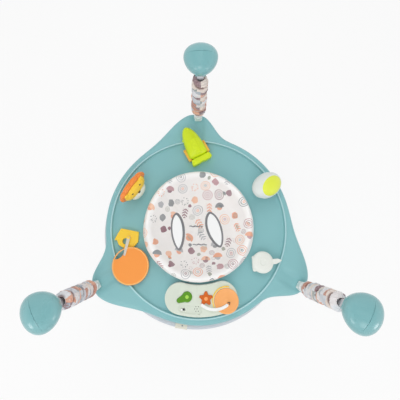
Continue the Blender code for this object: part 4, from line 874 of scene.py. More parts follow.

# The ridge's crest is painted paler than the matt floor and rim, a painted highlight along the bead.
tray_teal = finish("tray_teal", 139, 193, 197, rough=0.42, drift=0.03)
tray_tree = tray_teal.node_tree
tray_shader = tray_tree.nodes["Principled BSDF"]
base_tone = tray_shader.inputs["Base Color"].links[0].from_socket
off_axis = add(tray_tree, "VectorMath", tray_tree.nodes.new("ShaderNodeTexCoord").outputs["Object"], AXIS, operation="SUBTRACT")
reach = tray_tree.nodes.new("ShaderNodeVectorMath")
reach.operation = "LENGTH"
tray_tree.links.new(add(tray_tree, "VectorMath", off_axis, (1, 1, 0), operation="MULTIPLY"), reach.inputs[0])
off_crest = add(tray_tree, "Math", reach.outputs["Value"], RIDGE_RADIUS + 0.0004, 0.0, operation="SUBTRACT")
# Painted highlight: a pale band along the ridge's crest, by its distance from the axis.
painted_crest_highlight = add(tray_tree, "MapRange", add(tray_tree, "Math", off_crest, operation="ABSOLUTE"), 0.0012, 0.0026, 0.75, 0.0)
tray_tree.links.new(mixed(tray_tree, painted_crest_highlight, base_tone, paint(196, 230, 234)), tray_shader.inputs["Base Color"])
tray = piece("tray_shell", set_at(tray_shape, Matrix.Translation(AXIS)), tray_teal, 180.0)
wall = tray.modifiers.new("Wall", "SOLIDIFY")
wall.thickness = TRAY_WALL
wall.offset = -1.0
soft = tray.modifiers.new("Rounding", "SUBSURF")
soft.levels = soft.render_levels = 1
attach(tray, "tray")
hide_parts("tray_top")


# The tray's underside is a flat teal panel with moulded ribs, held by three screws up into bosses.

TRAY_BOTTOM_LOW = 0.3566
TRAY_BOTTOM_HIGH = 0.3590
SCREW_CIRCLE = 0.178


def panel_edge(past, height):
    """A level of the underside's outer edge, inside the skirt."""
    return lambda bearing: (TRAY_RADIUS + LOBE_REACH * lobe(bearing) - 0.0034 + past, height)


panel = ringed([
    (RACE_RADIUS + 0.0034, TRAY_BOTTOM_HIGH), (RACE_RADIUS + 0.0034, TRAY_BOTTOM_LOW), (0.170, TRAY_BOTTOM_LOW),
    (0.1715, TRAY_BOTTOM_LOW - 0.0018), (0.1740, TRAY_BOTTOM_LOW - 0.0018), (0.1755, TRAY_BOTTOM_LOW),
    (0.214, TRAY_BOTTOM_LOW), (0.2155, TRAY_BOTTOM_LOW - 0.0018), (0.2180, TRAY_BOTTOM_LOW - 0.0018),
    (0.2195, TRAY_BOTTOM_LOW), panel_edge(-0.012, TRAY_BOTTOM_LOW), panel_edge(0.0, TRAY_BOTTOM_LOW),
    panel_edge(0.0, TRAY_BOTTOM_HIGH), panel_edge(-0.012, TRAY_BOTTOM_HIGH), (0.2195, TRAY_BOTTOM_HIGH),
    (0.170, TRAY_BOTTOM_HIGH), (RACE_RADIUS + 0.0034, TRAY_BOTTOM_HIGH)], 192)
bmesh.ops.remove_doubles(panel, verts=panel.verts, dist=0.000002)
bmesh.ops.recalc_face_normals(panel, faces=panel.faces)
underside = piece("tray_underside", set_at(panel, Matrix.Translation(AXIS)), teal_plastic, 30.0)
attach(underside, "tray")
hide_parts("tray_bottom")

screw_line = [(0, 0, 0), (0.0036, 0, 0), (0.0042, 0, -0.0006), (0.0040, 0, -0.0020), (0.0026, 0, -0.0026), (0, 0, -0.0028)]
screw_shape = turned(screw_line, 28)
recess = [block((-0.0022, -0.0004, -0.0032), (0.0022, 0.0004, -0.0024)), block((-0.0004, -0.0022, -0.0032), (0.0004, 0.0022, -0.0024))]
screw_shape = joined(screw_shape, *recess)
for side, bearing in POSTS.items():
    place = at_post(bearing) @ Matrix.Translation((SCREW_CIRCLE, 0, TRAY_BOTTOM_LOW))
    screw = piece(f"panel_screw_{side}", set_at(screw_shape.copy(), place), zinc)
    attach(screw, "tray")
    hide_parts(f"tray_screw_{side}")
screw_shape.free()


# The seat's ring is a cream moulding that turns in the tray's race, with a flange that rides on the
# collar and a lip that snaps under it. Only its edge shows, in the dark gap under the fabric.

RING_OUTER = RACE_RADIUS - 0.0008
RING_INNER = RING_OUTER - 0.004
RING_REST = FLOOR_HEIGHT + COLLAR_RISE + 0.0003
RING_TOP = RING_REST + 0.036
RING_LOW = FLOOR_HEIGHT - RACE_DROP - 0.0008

ring_line = [
    (RING_INNER, 0, RING_TOP - 0.0006), (RING_INNER + 0.0006, 0, RING_TOP), (RING_OUTER - 0.0006, 0, RING_TOP),
    (RING_OUTER, 0, RING_TOP - 0.0006), (RING_OUTER, 0, RING_REST + 0.0030), (RING_OUTER + 0.0004, 0, RING_REST + 0.0027),
    (RING_OUTER + 0.0054, 0, RING_REST + 0.0027), (RING_OUTER + 0.0060, 0, RING_REST + 0.0021),
    (RING_OUTER + 0.0060, 0, RING_REST), (RING_OUTER, 0, RING_REST), (RING_OUTER, 0, RING_LOW),
    (RING_OUTER + 0.0024, 0, RING_LOW), (RING_OUTER + 0.0030, 0, RING_LOW - 0.0006),
    (RING_OUTER + 0.0012, 0, RING_LOW - 0.0025), (RING_INNER, 0, RING_LOW - 0.0025), (RING_INNER, 0, RING_TOP - 0.0006)]
ring_shape = set_at(turned(ring_line, 160), Matrix.Translation(AXIS))
seat_hoop = piece("seat_hoop", ring_shape, cream_plastic, 30.0)
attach(seat_hoop, "seat")
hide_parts("seat_ring")


# The seat is a bucket of white cotton printed in peach, plum and grey, padded with thin foam. It is
# stretched over the ring, hemmed below it, and sewn from wall panels and a crotch panel between the
# two leg holes, whose edges are bound in grey tape.

COVER_OUTER = 0.1592
COVER_INNER = RING_INNER - 0.0041
COVER_TOP = RING_TOP + 0.0070
COVER_HEM = FLOOR_HEIGHT + COLLAR_RISE + 0.001
COVER_LIP_DROP = 0.010
SEAT_DEPTH = 0.165
BUCKET_POWER = 0.60
COVER_THICKNESS = 0.0028
SEAT_YAW_DEG = 10.5
LEG_HOLE_LENGTH = 0.111
LEG_HOLE_WIDTHS = {-1: 0.038, 1: 0.042}
LEG_HOLE_SPOTS = {-1: (-0.0652, -0.0030), 1: (0.0508, -0.0175)}
LEG_HOLE_SPLAY_DEG = 5.5
BINDING_RADIUS = 0.0042
PRINT_REACH = 0.5
SLACK = 0.045
HANG_FRAMES = 22
MOST_SAG = 0.006


def calc(tree, what, *values):
    """A Math node of the named kind."""
    return add(tree, "Math", *values, operation=what)


def below(tree, value, limit, blur=0.012):
    """1 where a value is below a limit, with a soft edge."""
    return add(tree, "MapRange", value, limit - blur, limit + blur, 1.0, 0.0)


def motif_layer(tree, cloth, cell, seed, density, palette):
    """One scatter of small printed shapes, a shape to a square of cloth: the mask and its colour."""
    grid = add(tree, "VectorMath", cloth, (1 / cell, 1 / cell, 0.0), (seed, seed * 0.37, 0.0), operation="MULTIPLY_ADD")
    square = add(tree, "VectorMath", grid, operation="FLOOR")
    chance = tree.nodes.new("ShaderNodeTexWhiteNoise")
    tree.links.new(square, chance.inputs["Vector"])
    random = tree.nodes.new("ShaderNodeSeparateColor")
    tree.links.new(chance.outputs["Color"], random.inputs[0])
    kind, tint, here = random.outputs
    middle = add(tree, "VectorMath", add(tree, "VectorMath", grid, square, operation="SUBTRACT"), (0.5, 0.5, 0.0),
                 operation="SUBTRACT")
    nudge = add(tree, "VectorMath", chance.outputs["Color"], (0.20, 0.20, 0.0), (-0.10, -0.10, 0.0),
                operation="MULTIPLY_ADD")
    moved = add(tree, "VectorMath", add(tree, "VectorMath", middle, nudge, operation="SUBTRACT"), (0.74, 0.74, 0.0),
                operation="MULTIPLY")
    turn = tree.nodes.new("ShaderNodeVectorRotate")
    turn.rotation_type = "Z_AXIS"
    tree.links.new(moved, turn.inputs["Vector"])
    tree.links.new(calc(tree, "MULTIPLY", chance.outputs["Value"], 6.28), turn.inputs["Angle"])
    point = turn.outputs[0]
    parts = tree.nodes.new("ShaderNodeSeparateXYZ")
    tree.links.new(point, parts.inputs[0])
    x, y = parts.outputs[0], parts.outputs[1]
    length = tree.nodes.new("ShaderNodeVectorMath")
    length.operation = "LENGTH"
    tree.links.new(point, length.inputs[0])
    reach = length.outputs["Value"]
    flat_x = calc(tree, "ABSOLUTE", x)
    wobble = add(tree, "TexNoise", grid, None, 3.0, 1.0)

    low = below(tree, y, 0.0, 0.008)
    half_moon = below(tree, calc(tree, "MULTIPLY_ADD", low, 0.11, reach), 0.28)
    pebble = below(tree, calc(tree, "MULTIPLY", reach, calc(tree, "ADD", wobble, 0.6)), 0.22, 0.010)
    ring_band = calc(tree, "ABSOLUTE", calc(tree, "SUBTRACT", calc(tree, "PINGPONG", reach, 0.115), 0.058))
    ripple = calc(tree, "MULTIPLY", below(tree, ring_band, 0.020, 0.008), below(tree, reach, 0.33))
    leaf_x = calc(tree, "SUBTRACT", flat_x, 0.085)
    leaf_y = calc(tree, "SUBTRACT", calc(tree, "PINGPONG", calc(tree, "SUBTRACT", y, calc(tree, "MULTIPLY", flat_x, 0.7)), 0.16), 0.08)
    leaf = calc(tree, "ADD", calc(tree, "POWER", calc(tree, "DIVIDE", leaf_x, 0.092), 2.0),
                calc(tree, "POWER", calc(tree, "DIVIDE", leaf_y, 0.042), 2.0))
    stem = below(tree, flat_x, 0.012, 0.006)
    sprig = calc(tree, "MULTIPLY", calc(tree, "MAXIMUM", below(tree, leaf, 1.0, 0.25), stem),
                 below(tree, calc(tree, "ABSOLUTE", y), 0.28))
    dots = tree.nodes.new("ShaderNodeTexVoronoi")
    dots.inputs["Scale"].default_value = 11.0
    tree.links.new(point, dots.inputs["Vector"])
    cluster = calc(tree, "MULTIPLY", below(tree, dots.outputs["Distance"], 0.34, 0.05), below(tree, reach, 0.26, 0.02))

    mask = None
    for index, shape in enumerate((half_moon, pebble, sprig, ripple, cluster)):
        chosen = calc(tree, "COMPARE", kind, 0.1 + 0.2 * index, 0.1)
        drawn = calc(tree, "MULTIPLY", chosen, shape)
        mask = drawn if mask is None else calc(tree, "MAXIMUM", mask, drawn)
    mask = calc(tree, "MULTIPLY", mask, calc(tree, "LESS_THAN", here, density))
    first, second = lines_to(tree, *palette), lines_to(tree, *palette[::-1])
    tree.links.new(tint, first.inputs[0])
    tree.links.new(here, second.inputs[0])
    inner = calc(tree, "MULTIPLY", low, calc(tree, "LESS_THAN", kind, 0.2))
    inner = calc(tree, "MAXIMUM", inner, calc(tree, "MULTIPLY", below(tree, reach, 0.10), calc(tree, "COMPARE", kind, 0.7, 0.1)))
    return mask, mixed(tree, inner, first.outputs[0], second.outputs[0])


def printed_cotton(name):
    """White cotton with a small scattered print, a fine weave and slight wear of the ink."""
    made = bpy.data.materials.new(name)
    made.use_nodes = True
    tree = made.node_tree
    shader = tree.nodes["Principled BSDF"]
    shader.inputs["Roughness"].default_value = 0.9
    shader.inputs["Sheen Weight"].default_value = 0.2
    cloth = add(tree, "UVMap", uv_map="cloth")
    plum, rose = paint(150, 108, 120), paint(196, 150, 158)
    peach, orange = paint(247, 196, 164), paint(240, 166, 128)
    grey, slate, moss = paint(186, 188, 192), paint(132, 138, 142), paint(168, 172, 160)
    soil = add(tree, "TexNoise", cloth, None, 20.0, 3.0)
    tone = mixed(tree, soil, paint(249, 247, 245), paint(255, 254, 253))
    for cell, seed, density, palette in (
            (0.043, 3.31, 0.84, (peach, slate, plum, orange, grey, rose)),
            (0.0215, 5.13, 0.12, (slate, plum, orange, moss))):
        mask, ink = motif_layer(tree, cloth, cell, seed, density, palette)
        faded = calc(tree, "MULTIPLY", mask, add(tree, "MapRange", soil, 0.3, 0.7, 0.78, 0.96))
        tone = mixed(tree, faded, tone, ink)
    tree.links.new(tone, shader.inputs["Base Color"])
    threads = add(tree, "VectorMath", cloth, (5200.0, 5200.0, 0.0), operation="MULTIPLY")
    split = tree.nodes.new("ShaderNodeSeparateXYZ")
    tree.links.new(threads, split.inputs[0])
    weave = calc(tree, "MULTIPLY", calc(tree, "SINE", split.outputs[0]), calc(tree, "SINE", split.outputs[1]))
    bumped(tree, shader, calc(tree, "ADD", weave, add(tree, "TexNoise", cloth, None, 900.0, 2.0)), 0.25, 0.0003)
    return made


def bowl(depth):
    """A point of the bucket's round section at a share of its depth."""
    return COVER_INNER * (1 - depth) ** BUCKET_POWER, COVER_TOP - COVER_LIP_DROP - (SEAT_DEPTH - COVER_LIP_DROP) * depth


def bulge(bearing):
    """How much the loose skirt stands out at a bearing, from 0 to 1: at the seat's two front quarters."""
    return math.exp(-(((bearing - 195) / 24) ** 2)) + math.exp(-(((bearing - 325) / 24) ** 2))


def cloth_level(radius, height, slack, skirt=0.0):
    """A level of the bucket, drawn in at six places and softly crumpled by a share of slack."""
    def level(bearing):
        turn = math.radians(bearing)
        ease = 1 + 0.022 * slack * math.cos(6 * turn)
        soft = noise.noise(Vector((2.1 * math.cos(turn), 2.1 * math.sin(turn), height * 16.0 + 3.0)))
        pleat = noise.noise(Vector((7.5 * math.cos(turn), 7.5 * math.sin(turn), height * 9.0)))
        out = skirt * bulge(bearing % 360)
        return radius * ease + 0.0022 * slack * soft + 0.0012 * min(1.0, slack * 3) * pleat + out, height
    return level


middle = (COVER_OUTER + COVER_INNER) / 2
hem_and_rim = [
    (COVER_OUTER - 0.0006, COVER_HEM, 0.0, 0.001), (COVER_OUTER, COVER_HEM + 0.003, 0.1, 0.003),
    (COVER_OUTER + 0.0004, COVER_HEM + 0.010, 0.15, 0.0055), (COVER_OUTER + 0.0006, COVER_HEM + 0.018, 0.2, 0.0055),
    (COVER_OUTER, COVER_HEM + 0.027, 0.15, 0.003), (COVER_OUTER - 0.0012, COVER_TOP - 0.0100, 0.1, 0.0),
    (COVER_OUTER - 0.0034, COVER_TOP - 0.0052, 0.1, -0.001), (middle + 0.0046, COVER_TOP - 0.0016, 0.1, 0.0),
    (middle + 0.0006, COVER_TOP, 0.1, 0.0), (middle - 0.0030, COVER_TOP - 0.0004, 0.1, 0.0),
    (COVER_INNER + 0.0028, COVER_TOP - 0.0040, 0.12, 0.0)]
spots = [*hem_and_rim]
for step in range(36):
    depth = 0.985 * (step / 35) ** 1.05
    spots.append((*bowl(depth), min(1.0, 0.12 + depth * 1.3), 0.0))
bucket = ringed([cloth_level(*spot) for spot in spots], 192)
end_ring = [edge for edge in bucket.edges if edge.is_boundary and edge.verts[0].co.z < COVER_HEM - 0.05]
tip = bmesh.ops.contextual_create(bucket, geom=end_ring)["faces"]
centre = bmesh.ops.poke(bucket, faces=tip)["verts"]
for vert in centre:
    vert.co.z = COVER_TOP - SEAT_DEPTH
bmesh.ops.recalc_face_normals(bucket, faces=bucket.faces)
if centre[0].normal.z < 0:
    bmesh.ops.reverse_faces(bucket, faces=bucket.faces)

# The print is laid out from the bucket's middle, along the cloth, so that no seam of it shows.
laid = [0.0]
for lower, upper in zip(spots[::-1], spots[-2::-1]):
    across = upper[0] - lower[0]
    along = math.hypot(across, upper[1] - lower[1])
    laid.append(laid[-1] + (along if upper[0] > middle or across < 0 else across + PRINT_REACH * (along - across)))
laid = [spots[-1][0] + reach for reach in laid][::-1]
bucket.verts.index_update()
printed_at = []
for vert in bucket.verts:
    level = vert.index // 192
    reach = laid[level] if level < len(laid) else 0.0
    printed_at.append(Vector((vert.co.x, vert.co.y)).normalized() * reach)
layer = bucket.loops.layers.uv.new("cloth")
for face in bucket.faces:
    for loop in face.loops:
        loop[layer].uv = printed_at[loop.vert.index]


def hung(shape, held, slack, frames, most):
    """Hangs a sheet as cloth for some frames from the points that are held, and keeps each step short."""
    mesh = bpy.data.meshes.new("hung")
    shape.to_mesh(mesh)
    sheet = bpy.data.objects.new("hung", mesh)
    bpy.context.scene.collection.objects.link(sheet)
    pins = sheet.vertex_groups.new(name="pins")
    for vert in shape.verts:
        pins.add([vert.index], held(vert.co), "REPLACE")
    cloth = sheet.modifiers.new("Hang", "CLOTH")
    cloth.settings.vertex_group_mass = "pins"
    cloth.settings.quality = 6
    cloth.settings.mass = 0.20
    cloth.settings.bending_stiffness = 0.6
    cloth.settings.shrink_min = -slack
    cloth.point_cache.frame_start = 1
    cloth.point_cache.frame_end = frames
    for frame_number in range(1, frames + 1):
        bpy.context.scene.frame_set(frame_number)
    result = sheet.evaluated_get(bpy.context.evaluated_depsgraph_get()).to_mesh()
    for vert, fallen in zip(shape.verts, result.vertices):
        step = fallen.co - vert.co
        vert.co += step * min(1.0, most / max(step.length, 0.0001))
    bpy.data.objects.remove(sheet)
    bpy.context.scene.frame_set(1)


hung(bucket, lambda point: 1.0 if math.hypot(point.x, point.y) > COVER_INNER - 0.001 else 0.0,
     SLACK, HANG_FRAMES, MOST_SAG)
bmesh.ops.smooth_vert(
    bucket, verts=[vert for vert in bucket.verts if not vert.is_boundary], factor=0.5, use_axis_x=True,
    use_axis_y=True, use_axis_z=True)

# The crotch panel's two cross seams and the four wall seams pull the foam in along a soft groove.
CROSS_SEAMS = (0.004, -0.056)
SEAM_SKEW = -0.17
WALL_SEAMS_DEG = (52.0, 128.0, 232.0, 308.0)
for vert in bucket.verts:
    x, y, z = vert.co
    turn = math.degrees(math.atan2(y, x)) % 360
    pull = 0.0
    if z < 0.36 and abs(x) < 0.036:
        pull = max(math.exp(-(((y - SEAM_SKEW * x - seam) / 0.0034) ** 2)) for seam in CROSS_SEAMS)
    elif math.hypot(x, y) < COVER_INNER + 0.002:
        reach = min(abs(turn - seam) for seam in WALL_SEAMS_DEG) * math.radians(1) * math.hypot(x, y)
        pull = 0.7 * math.exp(-((reach / 0.0034) ** 2)) - 0.9 * min(1.0, reach / 0.050) ** 0.5
    vert.co -= vert.normal * 0.0017 * pull


def lofted(levels):
    """A closed skin through outlines of equal counts of points, each with its height."""
    shape = bmesh.new()
    loops = []
    for outline, height in levels:
        spots = [shape.verts.new((point[0], point[1], height)) for point in outline]
        loops.append([shape.edges.new(pair) for pair in zip(spots, spots[1:] + spots[:1])])
    for lower, upper in zip(loops, loops[1:]):
        bmesh.ops.bridge_loops(shape, edges=lower + upper)
    for end in (loops[0], loops[-1]):
        bmesh.ops.edgeloop_fill(shape, edges=end)
    bmesh.ops.recalc_face_normals(shape, faces=shape.faces)
    return shape


def taken_from(made):
    """The shape of an object with its modifiers, as a bmesh. The object goes."""
    mesh = bpy.data.meshes.new_from_object(made.evaluated_get(bpy.context.evaluated_depsgraph_get()))
    shape = bmesh.new()
    shape.from_mesh(mesh)
    bpy.data.meshes.remove(mesh)
    bpy.data.objects.remove(made)
    return shape


def cut_by(shape, cutter):
    """A closed bmesh with the shape of another taken out of it."""
    both = []
    for part in (shape, cutter):
        mesh = bpy.data.meshes.new("part")
        part.to_mesh(mesh)
        part.free()
        both.append(bpy.data.objects.new("part", mesh))
        bpy.context.scene.collection.objects.link(both[-1])
    hole = both[0].modifiers.new("Hole", "BOOLEAN")
    hole.operation = "DIFFERENCE"
    hole.solver = "EXACT"
    hole.use_self = True
    hole.object = both[1]
    result = taken_from(both[0])
    bpy.data.objects.remove(both[1])
    return result


def hole_outline(side, grow=0.0, count=56):
    """The leg hole's blunt teardrop as seen from above, in the seat's own frame."""
    points = []
    turn = Matrix.Rotation(math.radians(side * LEG_HOLE_SPLAY_DEG), 3, "Z")
    for step in range(count):
        angle = 2 * math.pi * step / count
        along = math.sin(angle)
        width = (LEG_HOLE_WIDTHS[side] / 2 + grow) * (1 + 0.12 * along) * abs(math.cos(angle)) ** 0.25
        spot = turn @ Vector((width * math.cos(angle), (LEG_HOLE_LENGTH / 2 + grow) * along, 0))
        points.append(spot + Vector((*LEG_HOLE_SPOTS[side], 0)))
    return points


def rope(points, radius, closed=True, sides=3):
    """A round cord along a line of points, as a bmesh with closed ends."""
    curve = bpy.data.curves.new("rope", "CURVE")
    curve.dimensions = "3D"
    curve.bevel_depth = radius
    curve.bevel_resolution = sides
    curve.use_fill_caps = not closed
    line = curve.splines.new("POLY")
    line.points.add(len(points) - 1)
    for spot, point in zip(line.points, points):
        spot.co = (*point, 1.0)
    line.use_cyclic_u = closed
    holder = bpy.data.objects.new("rope", curve)
    bpy.context.scene.collection.objects.link(holder)
    shape = taken_from(holder)
    bpy.data.curves.remove(curve)
    bmesh.ops.remove_doubles(shape, verts=shape.verts, dist=0.00002)
    bmesh.ops.recalc_face_normals(shape, faces=shape.faces)
    return shape


seat_print = printed_cotton("printed_cotton")
skin = BVHTree.FromBMesh(bucket)
foam = bpy.data.meshes.new("foam")
bucket.to_mesh(foam)
bucket.free()
cover = bpy.data.objects.new("foam", foam)
bpy.context.scene.collection.objects.link(cover)
wadding = cover.modifiers.new("Wadding", "SOLIDIFY")
wadding.thickness = COVER_THICKNESS
wadding.offset = -1.0
thick_cover = taken_from(cover)
punches = [lofted([(hole_outline(side), 0.15), (hole_outline(side), 0.41)]) for side in (-1, 1)]
thick_cover = cut_by(thick_cover, joined(*punches))
bmesh.ops.remove_doubles(thick_cover, verts=thick_cover.verts, dist=0.00001)
seat_place = Matrix.Translation(AXIS) @ Matrix.Rotation(math.radians(SEAT_YAW_DEG), 4, "Z")
seat = piece("seat_bucket_cloth", set_at(thick_cover, seat_place), seat_print, 55.0)
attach(seat, "seat")
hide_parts("seat_cover")


def on_skin(point, lift=0.0):
    """The point of the bucket's showing side above or below a point, and a little off it."""
    spot, normal, face, gap = skin.ray_cast(Vector((point.x, point.y, 0.44)), Vector((0, 0, -1)))
    if spot is None:
        spot, normal, face, gap = skin.find_nearest(point)
    return spot + normal * lift


grey_binding = woven("grey_binding", 140, 142, 146, 0.0008)
for side, name in ((-1, "left"), (1, "right")):
    loop_points = [on_skin(point, -COVER_THICKNESS / 2) for point in hole_outline(side)]
    tape = rope(loop_points, BINDING_RADIUS, True, 3)
    coordinates("cloth", tape, lambda point: (point.x + point.z, point.y + point.z * 0.5))
    binding = piece(f"leg_binding_{name}", set_at(tape, seat_place), grey_binding, 180.0, 1)
    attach(binding, "seat")

# Each cross seam of the crotch panel is gathered by its stitches into a short puckered line.
for seam, name in zip(CROSS_SEAMS, ("back", "front")):
    line = []
    for step in range(41):
        share = step / 40 - 0.5
        pucker = 0.0016 * math.sin(step * 1.9) * math.cos(share * 3) + 0.0012 * math.sin(step * 0.45)
        x = 0.044 * share - 0.004
        line.append(on_skin(Vector((x, seam + pucker + SEAM_SKEW * x, 0)), 0.0003))
    thread = rope(line, 0.0014, False, 2)
    coordinates("cloth", thread, lambda point: (point.x + point.z, point.y + point.z * 0.5))
    pucker_line = piece(f"crotch_seam_{name}", set_at(thread, seat_place), grey_binding, 180.0)
    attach(pucker_line, "seat")


# The sound console is a pale housing bent round the seat, with a white face. It has a pear and a star
# to press, a peach disc to spin behind a curved white trim, a speaker and a slide switch.

CONSOLE_RADIUS = 0.2095
CONSOLE_HALF_WIDTH = 0.0430
CONSOLE_FROM_DEG = -104.6
CONSOLE_TO_DEG = -71.4
CONSOLE_WALL = 0.0024
HOUSING_LOW = FLOOR_HEIGHT + 0.0003
FACE_LOW = 0.4111
FACE_TOP = 0.4141
HATCH_SPOT = (-0.0470, -0.2030)
HATCH_HALF = (0.02525, 0.0176)
PEAR_SPOT = (-0.0330, -0.1985)
STAR_SPOT = (0.0205, -0.2030)
SPINNER_SPOT = (0.0780, -0.2090)
SWITCH_SPOT = (-0.0441, -0.2320)
SPEAKER_SPOT = (-0.0045, -0.2305)
SPINNER_RADIUS = 0.0345
BUTTON_RISE = 0.0035


def arc(centre, radius, start, end, count):
    """Points along an arc, from one bearing to another."""
    turns = [math.radians(start + (end - start) * step / count) for step in range(count + 1)]
    return [(centre[0] + radius * math.cos(turn), centre[1] + radius * math.sin(turn)) for turn in turns]


def band(radius, half, start, end, centre=(0, 0), count=22):
    """The outline of a bent bar with round ends, about a centre."""
    near, far = arc(centre, radius, start, end, 1)
    points = arc(centre, radius + half, start, end, count)
    points += arc(far, half, end, end + 180, 20)[1:-1]
    points += arc(centre, radius - half, end, start, count)
    return points + arc(near, half, start + 180, start + 360, 20)[1:-1]


def bean(grow):
    """The console's outline, grown or drawn in."""
    return band(CONSOLE_RADIUS, CONSOLE_HALF_WIDTH + grow, CONSOLE_FROM_DEG, CONSOLE_TO_DEG)


def slab(outline, low, high, round_off=0.0, corner=0.0):
    """A closed plate of an outline between two heights, its corners and its top edge rounded."""
    shape = lofted([(outline, low), (outline, high)])
    if corner:
        upright = [e for e in shape.edges if abs(e.verts[0].co.z - e.verts[1].co.z) > 0.00001]
        bmesh.ops.bevel(
            shape, geom=upright, offset=corner, segments=4, profile=0.5, affect="EDGES", material=-1, clamp_overlap=True)
    if round_off:
        top = [e for e in shape.edges if all(vert.co.z > high - 0.00001 for vert in e.verts)]
        bmesh.ops.bevel(
            shape, geom=top, offset=round_off, segments=3, profile=0.5, affect="EDGES", material=-1, clamp_overlap=True)
    return shape


def moved_to(points, spot):
    """An outline moved to a spot."""
    return [(x + spot[0], y + spot[1]) for x, y in points]


def pear(grow):
    """The pear button's outline about the middle of its bulb."""
    tail = (-0.0222, -0.0098)
    lean = math.degrees(math.atan2(tail[1], tail[0]))
    return arc((0, 0), 0.0142 + grow, lean + 44, lean + 316, 40) + arc(tail, 0.0066 + grow, lean - 84, lean + 84, 14)


def star(grow):
    """The star button's outline, five blunt points."""
    points = []
    for step in range(5):
        bearing = 90 + 72 * step
        points += arc((0, 0), 0.0190 + grow, bearing - 9, bearing + 9, 3)
        points += arc((0, 0), 0.0118 + grow, bearing + 34, bearing + 38, 1)
    return points


def stand(x, y, facing=0.0):
    """The frame of a piece that stands on the tray's floor and faces a bearing."""
    return Matrix.Translation(AXIS + Vector((x, y, FLOOR_HEIGHT))) @ Matrix.Rotation(math.radians(facing), 4, "Z")


def mounted(name, shape, look, body, node=None, sharp=38.0, rounding=0):
    """A piece that rides a body, and may take the place of a CAD node."""
    made = piece(name, shape, look, sharp, rounding)
    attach(made, body)
    if node:
        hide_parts(node)
    return made


desk = Matrix.Translation(AXIS)
console_white = finish("console_white", 218, 226, 212, rough=0.36)
trim_white = finish("trim_white", 246, 248, 246, rough=0.3)
housing = lofted([
    (bean(-0.0016), HOUSING_LOW), (bean(-0.0004), HOUSING_LOW + 0.0006), (bean(0.0), HOUSING_LOW + 0.0020),
    (bean(0.0), FACE_LOW - 0.0008), (bean(-CONSOLE_WALL), FACE_LOW - 0.0008),
    (bean(-CONSOLE_WALL), HOUSING_LOW + CONSOLE_WALL)])
hatch = block((HATCH_SPOT[0] - HATCH_HALF[0], HATCH_SPOT[1] - HATCH_HALF[1], HOUSING_LOW - 0.01),
              (HATCH_SPOT[0] + HATCH_HALF[0], HATCH_SPOT[1] + HATCH_HALF[1], HOUSING_LOW + 0.01))
mounted("console_housing", set_at(cut_by(housing, hatch), desk), pale_plastic, "tray", "console_base")

# The face has a rounded shoulder, a shallow dish and a lower shelf for the switch and the speaker.
panel_face = lofted([
    (bean(-0.0003), FACE_LOW), (bean(0.0), FACE_LOW + 0.0004), (bean(0.0), FACE_TOP - 0.0012),
    (bean(-0.0005), FACE_TOP - 0.0003), (bean(-0.0014), FACE_TOP), (bean(-0.0042), FACE_TOP),
    (bean(-0.0056), FACE_TOP - 0.0005)])
shelf = slab(band(0.2335, 0.0110, -101.8, -90.6), FACE_TOP - 0.0012, FACE_TOP + 0.002)
slot_half = 0.0058
slot = [(-slot_half, -0.003), (slot_half, -0.003), (slot_half, 0.003), (-slot_half, 0.003)]
sound = [SPEAKER_SPOT] + arc(SPEAKER_SPOT, 0.0068, 60, 300, 4)
holes = [moved_to(pear(0.0006), PEAR_SPOT), moved_to(star(0.0006), STAR_SPOT), moved_to(slot, SWITCH_SPOT)]
holes += [arc(SPINNER_SPOT, 0.0043, 0, 345, 23)] + [arc(spot, 0.0013, 0, 345, 23) for spot in sound]
drills = [slab(outline, FACE_LOW - 0.001, FACE_TOP + 0.001) for outline in holes]
panel_face = cut_by(cut_by(panel_face, shelf), joined(*drills))
mounted("console_panel", set_at(panel_face, desk), console_white, "tray", "console_face", 30.0)

for name, outline, spot in (("pear", pear, PEAR_SPOT), ("star", star, STAR_SPOT)):
    lip = lofted([
        (moved_to(outline(0.0007), spot), FACE_TOP - 0.0010), (moved_to(outline(0.0007), spot), FACE_TOP - 0.0001),
        (moved_to(outline(0.0013), spot), FACE_TOP + 0.0003), (moved_to(outline(0.0021), spot), FACE_TOP + 0.0001),
        (moved_to(outline(0.0026), spot), FACE_TOP - 0.0010)])
    ends = [face for face in lip.faces if len(face.verts) > 4]
    bmesh.ops.delete(lip, geom=ends, context="FACES_ONLY")
    bmesh.ops.bridge_loops(lip, edges=[edge for edge in lip.edges if edge.is_boundary])
    bmesh.ops.recalc_face_normals(lip, faces=lip.faces)
    mounted(f"{name}_surround", set_at(lip, desk), console_white, "tray", None, 50.0)

buttons = {
    "pear": (pear, PEAR_SPOT, "green_plastic", (92, 152, 28), (0.0, 0.0), (172, 222, 84)),
    "star": (star, STAR_SPOT, "orange_plastic", (216, 102, 18), (0.0, 0.0), (255, 172, 104)),
}
for name, (outline, spot, slot_name, colour, dot_spot, dot_colour) in buttons.items():
    top = FACE_TOP + BUTTON_RISE
    cap = lofted([
        (moved_to(outline(0.0), spot), FACE_LOW), (moved_to(outline(0.0), spot), top - 0.0016),
        (moved_to(outline(-0.0005), spot), top - 0.0006), (moved_to(outline(-0.0014), spot), top),
        (moved_to(outline(-0.0030), spot), top + 0.0001)])
    look = finish(f"{name}_colour", *colour, rough=0.34)
    mounted(f"{name}_cap", set_at(cap, desk), look, name, f"{name}_button", 32.0)
    centre = (spot[0] + dot_spot[0], spot[1] + dot_spot[1])
    dot_line = [(0.0052, 0, top - 0.0004), (0.0050, 0, top + 0.0004), (0.0036, 0, top + 0.0009), (0, 0, top + 0.0011)]
    dot = turned([(0, 0, top - 0.0004), *dot_line], 24)
    set_at(dot, desk @ Matrix.Translation((*centre, 0)))
    mounted(f"{name}_dot", dot, finish(f"{name}_dot_colour", *dot_colour, rough=0.34), name, None)

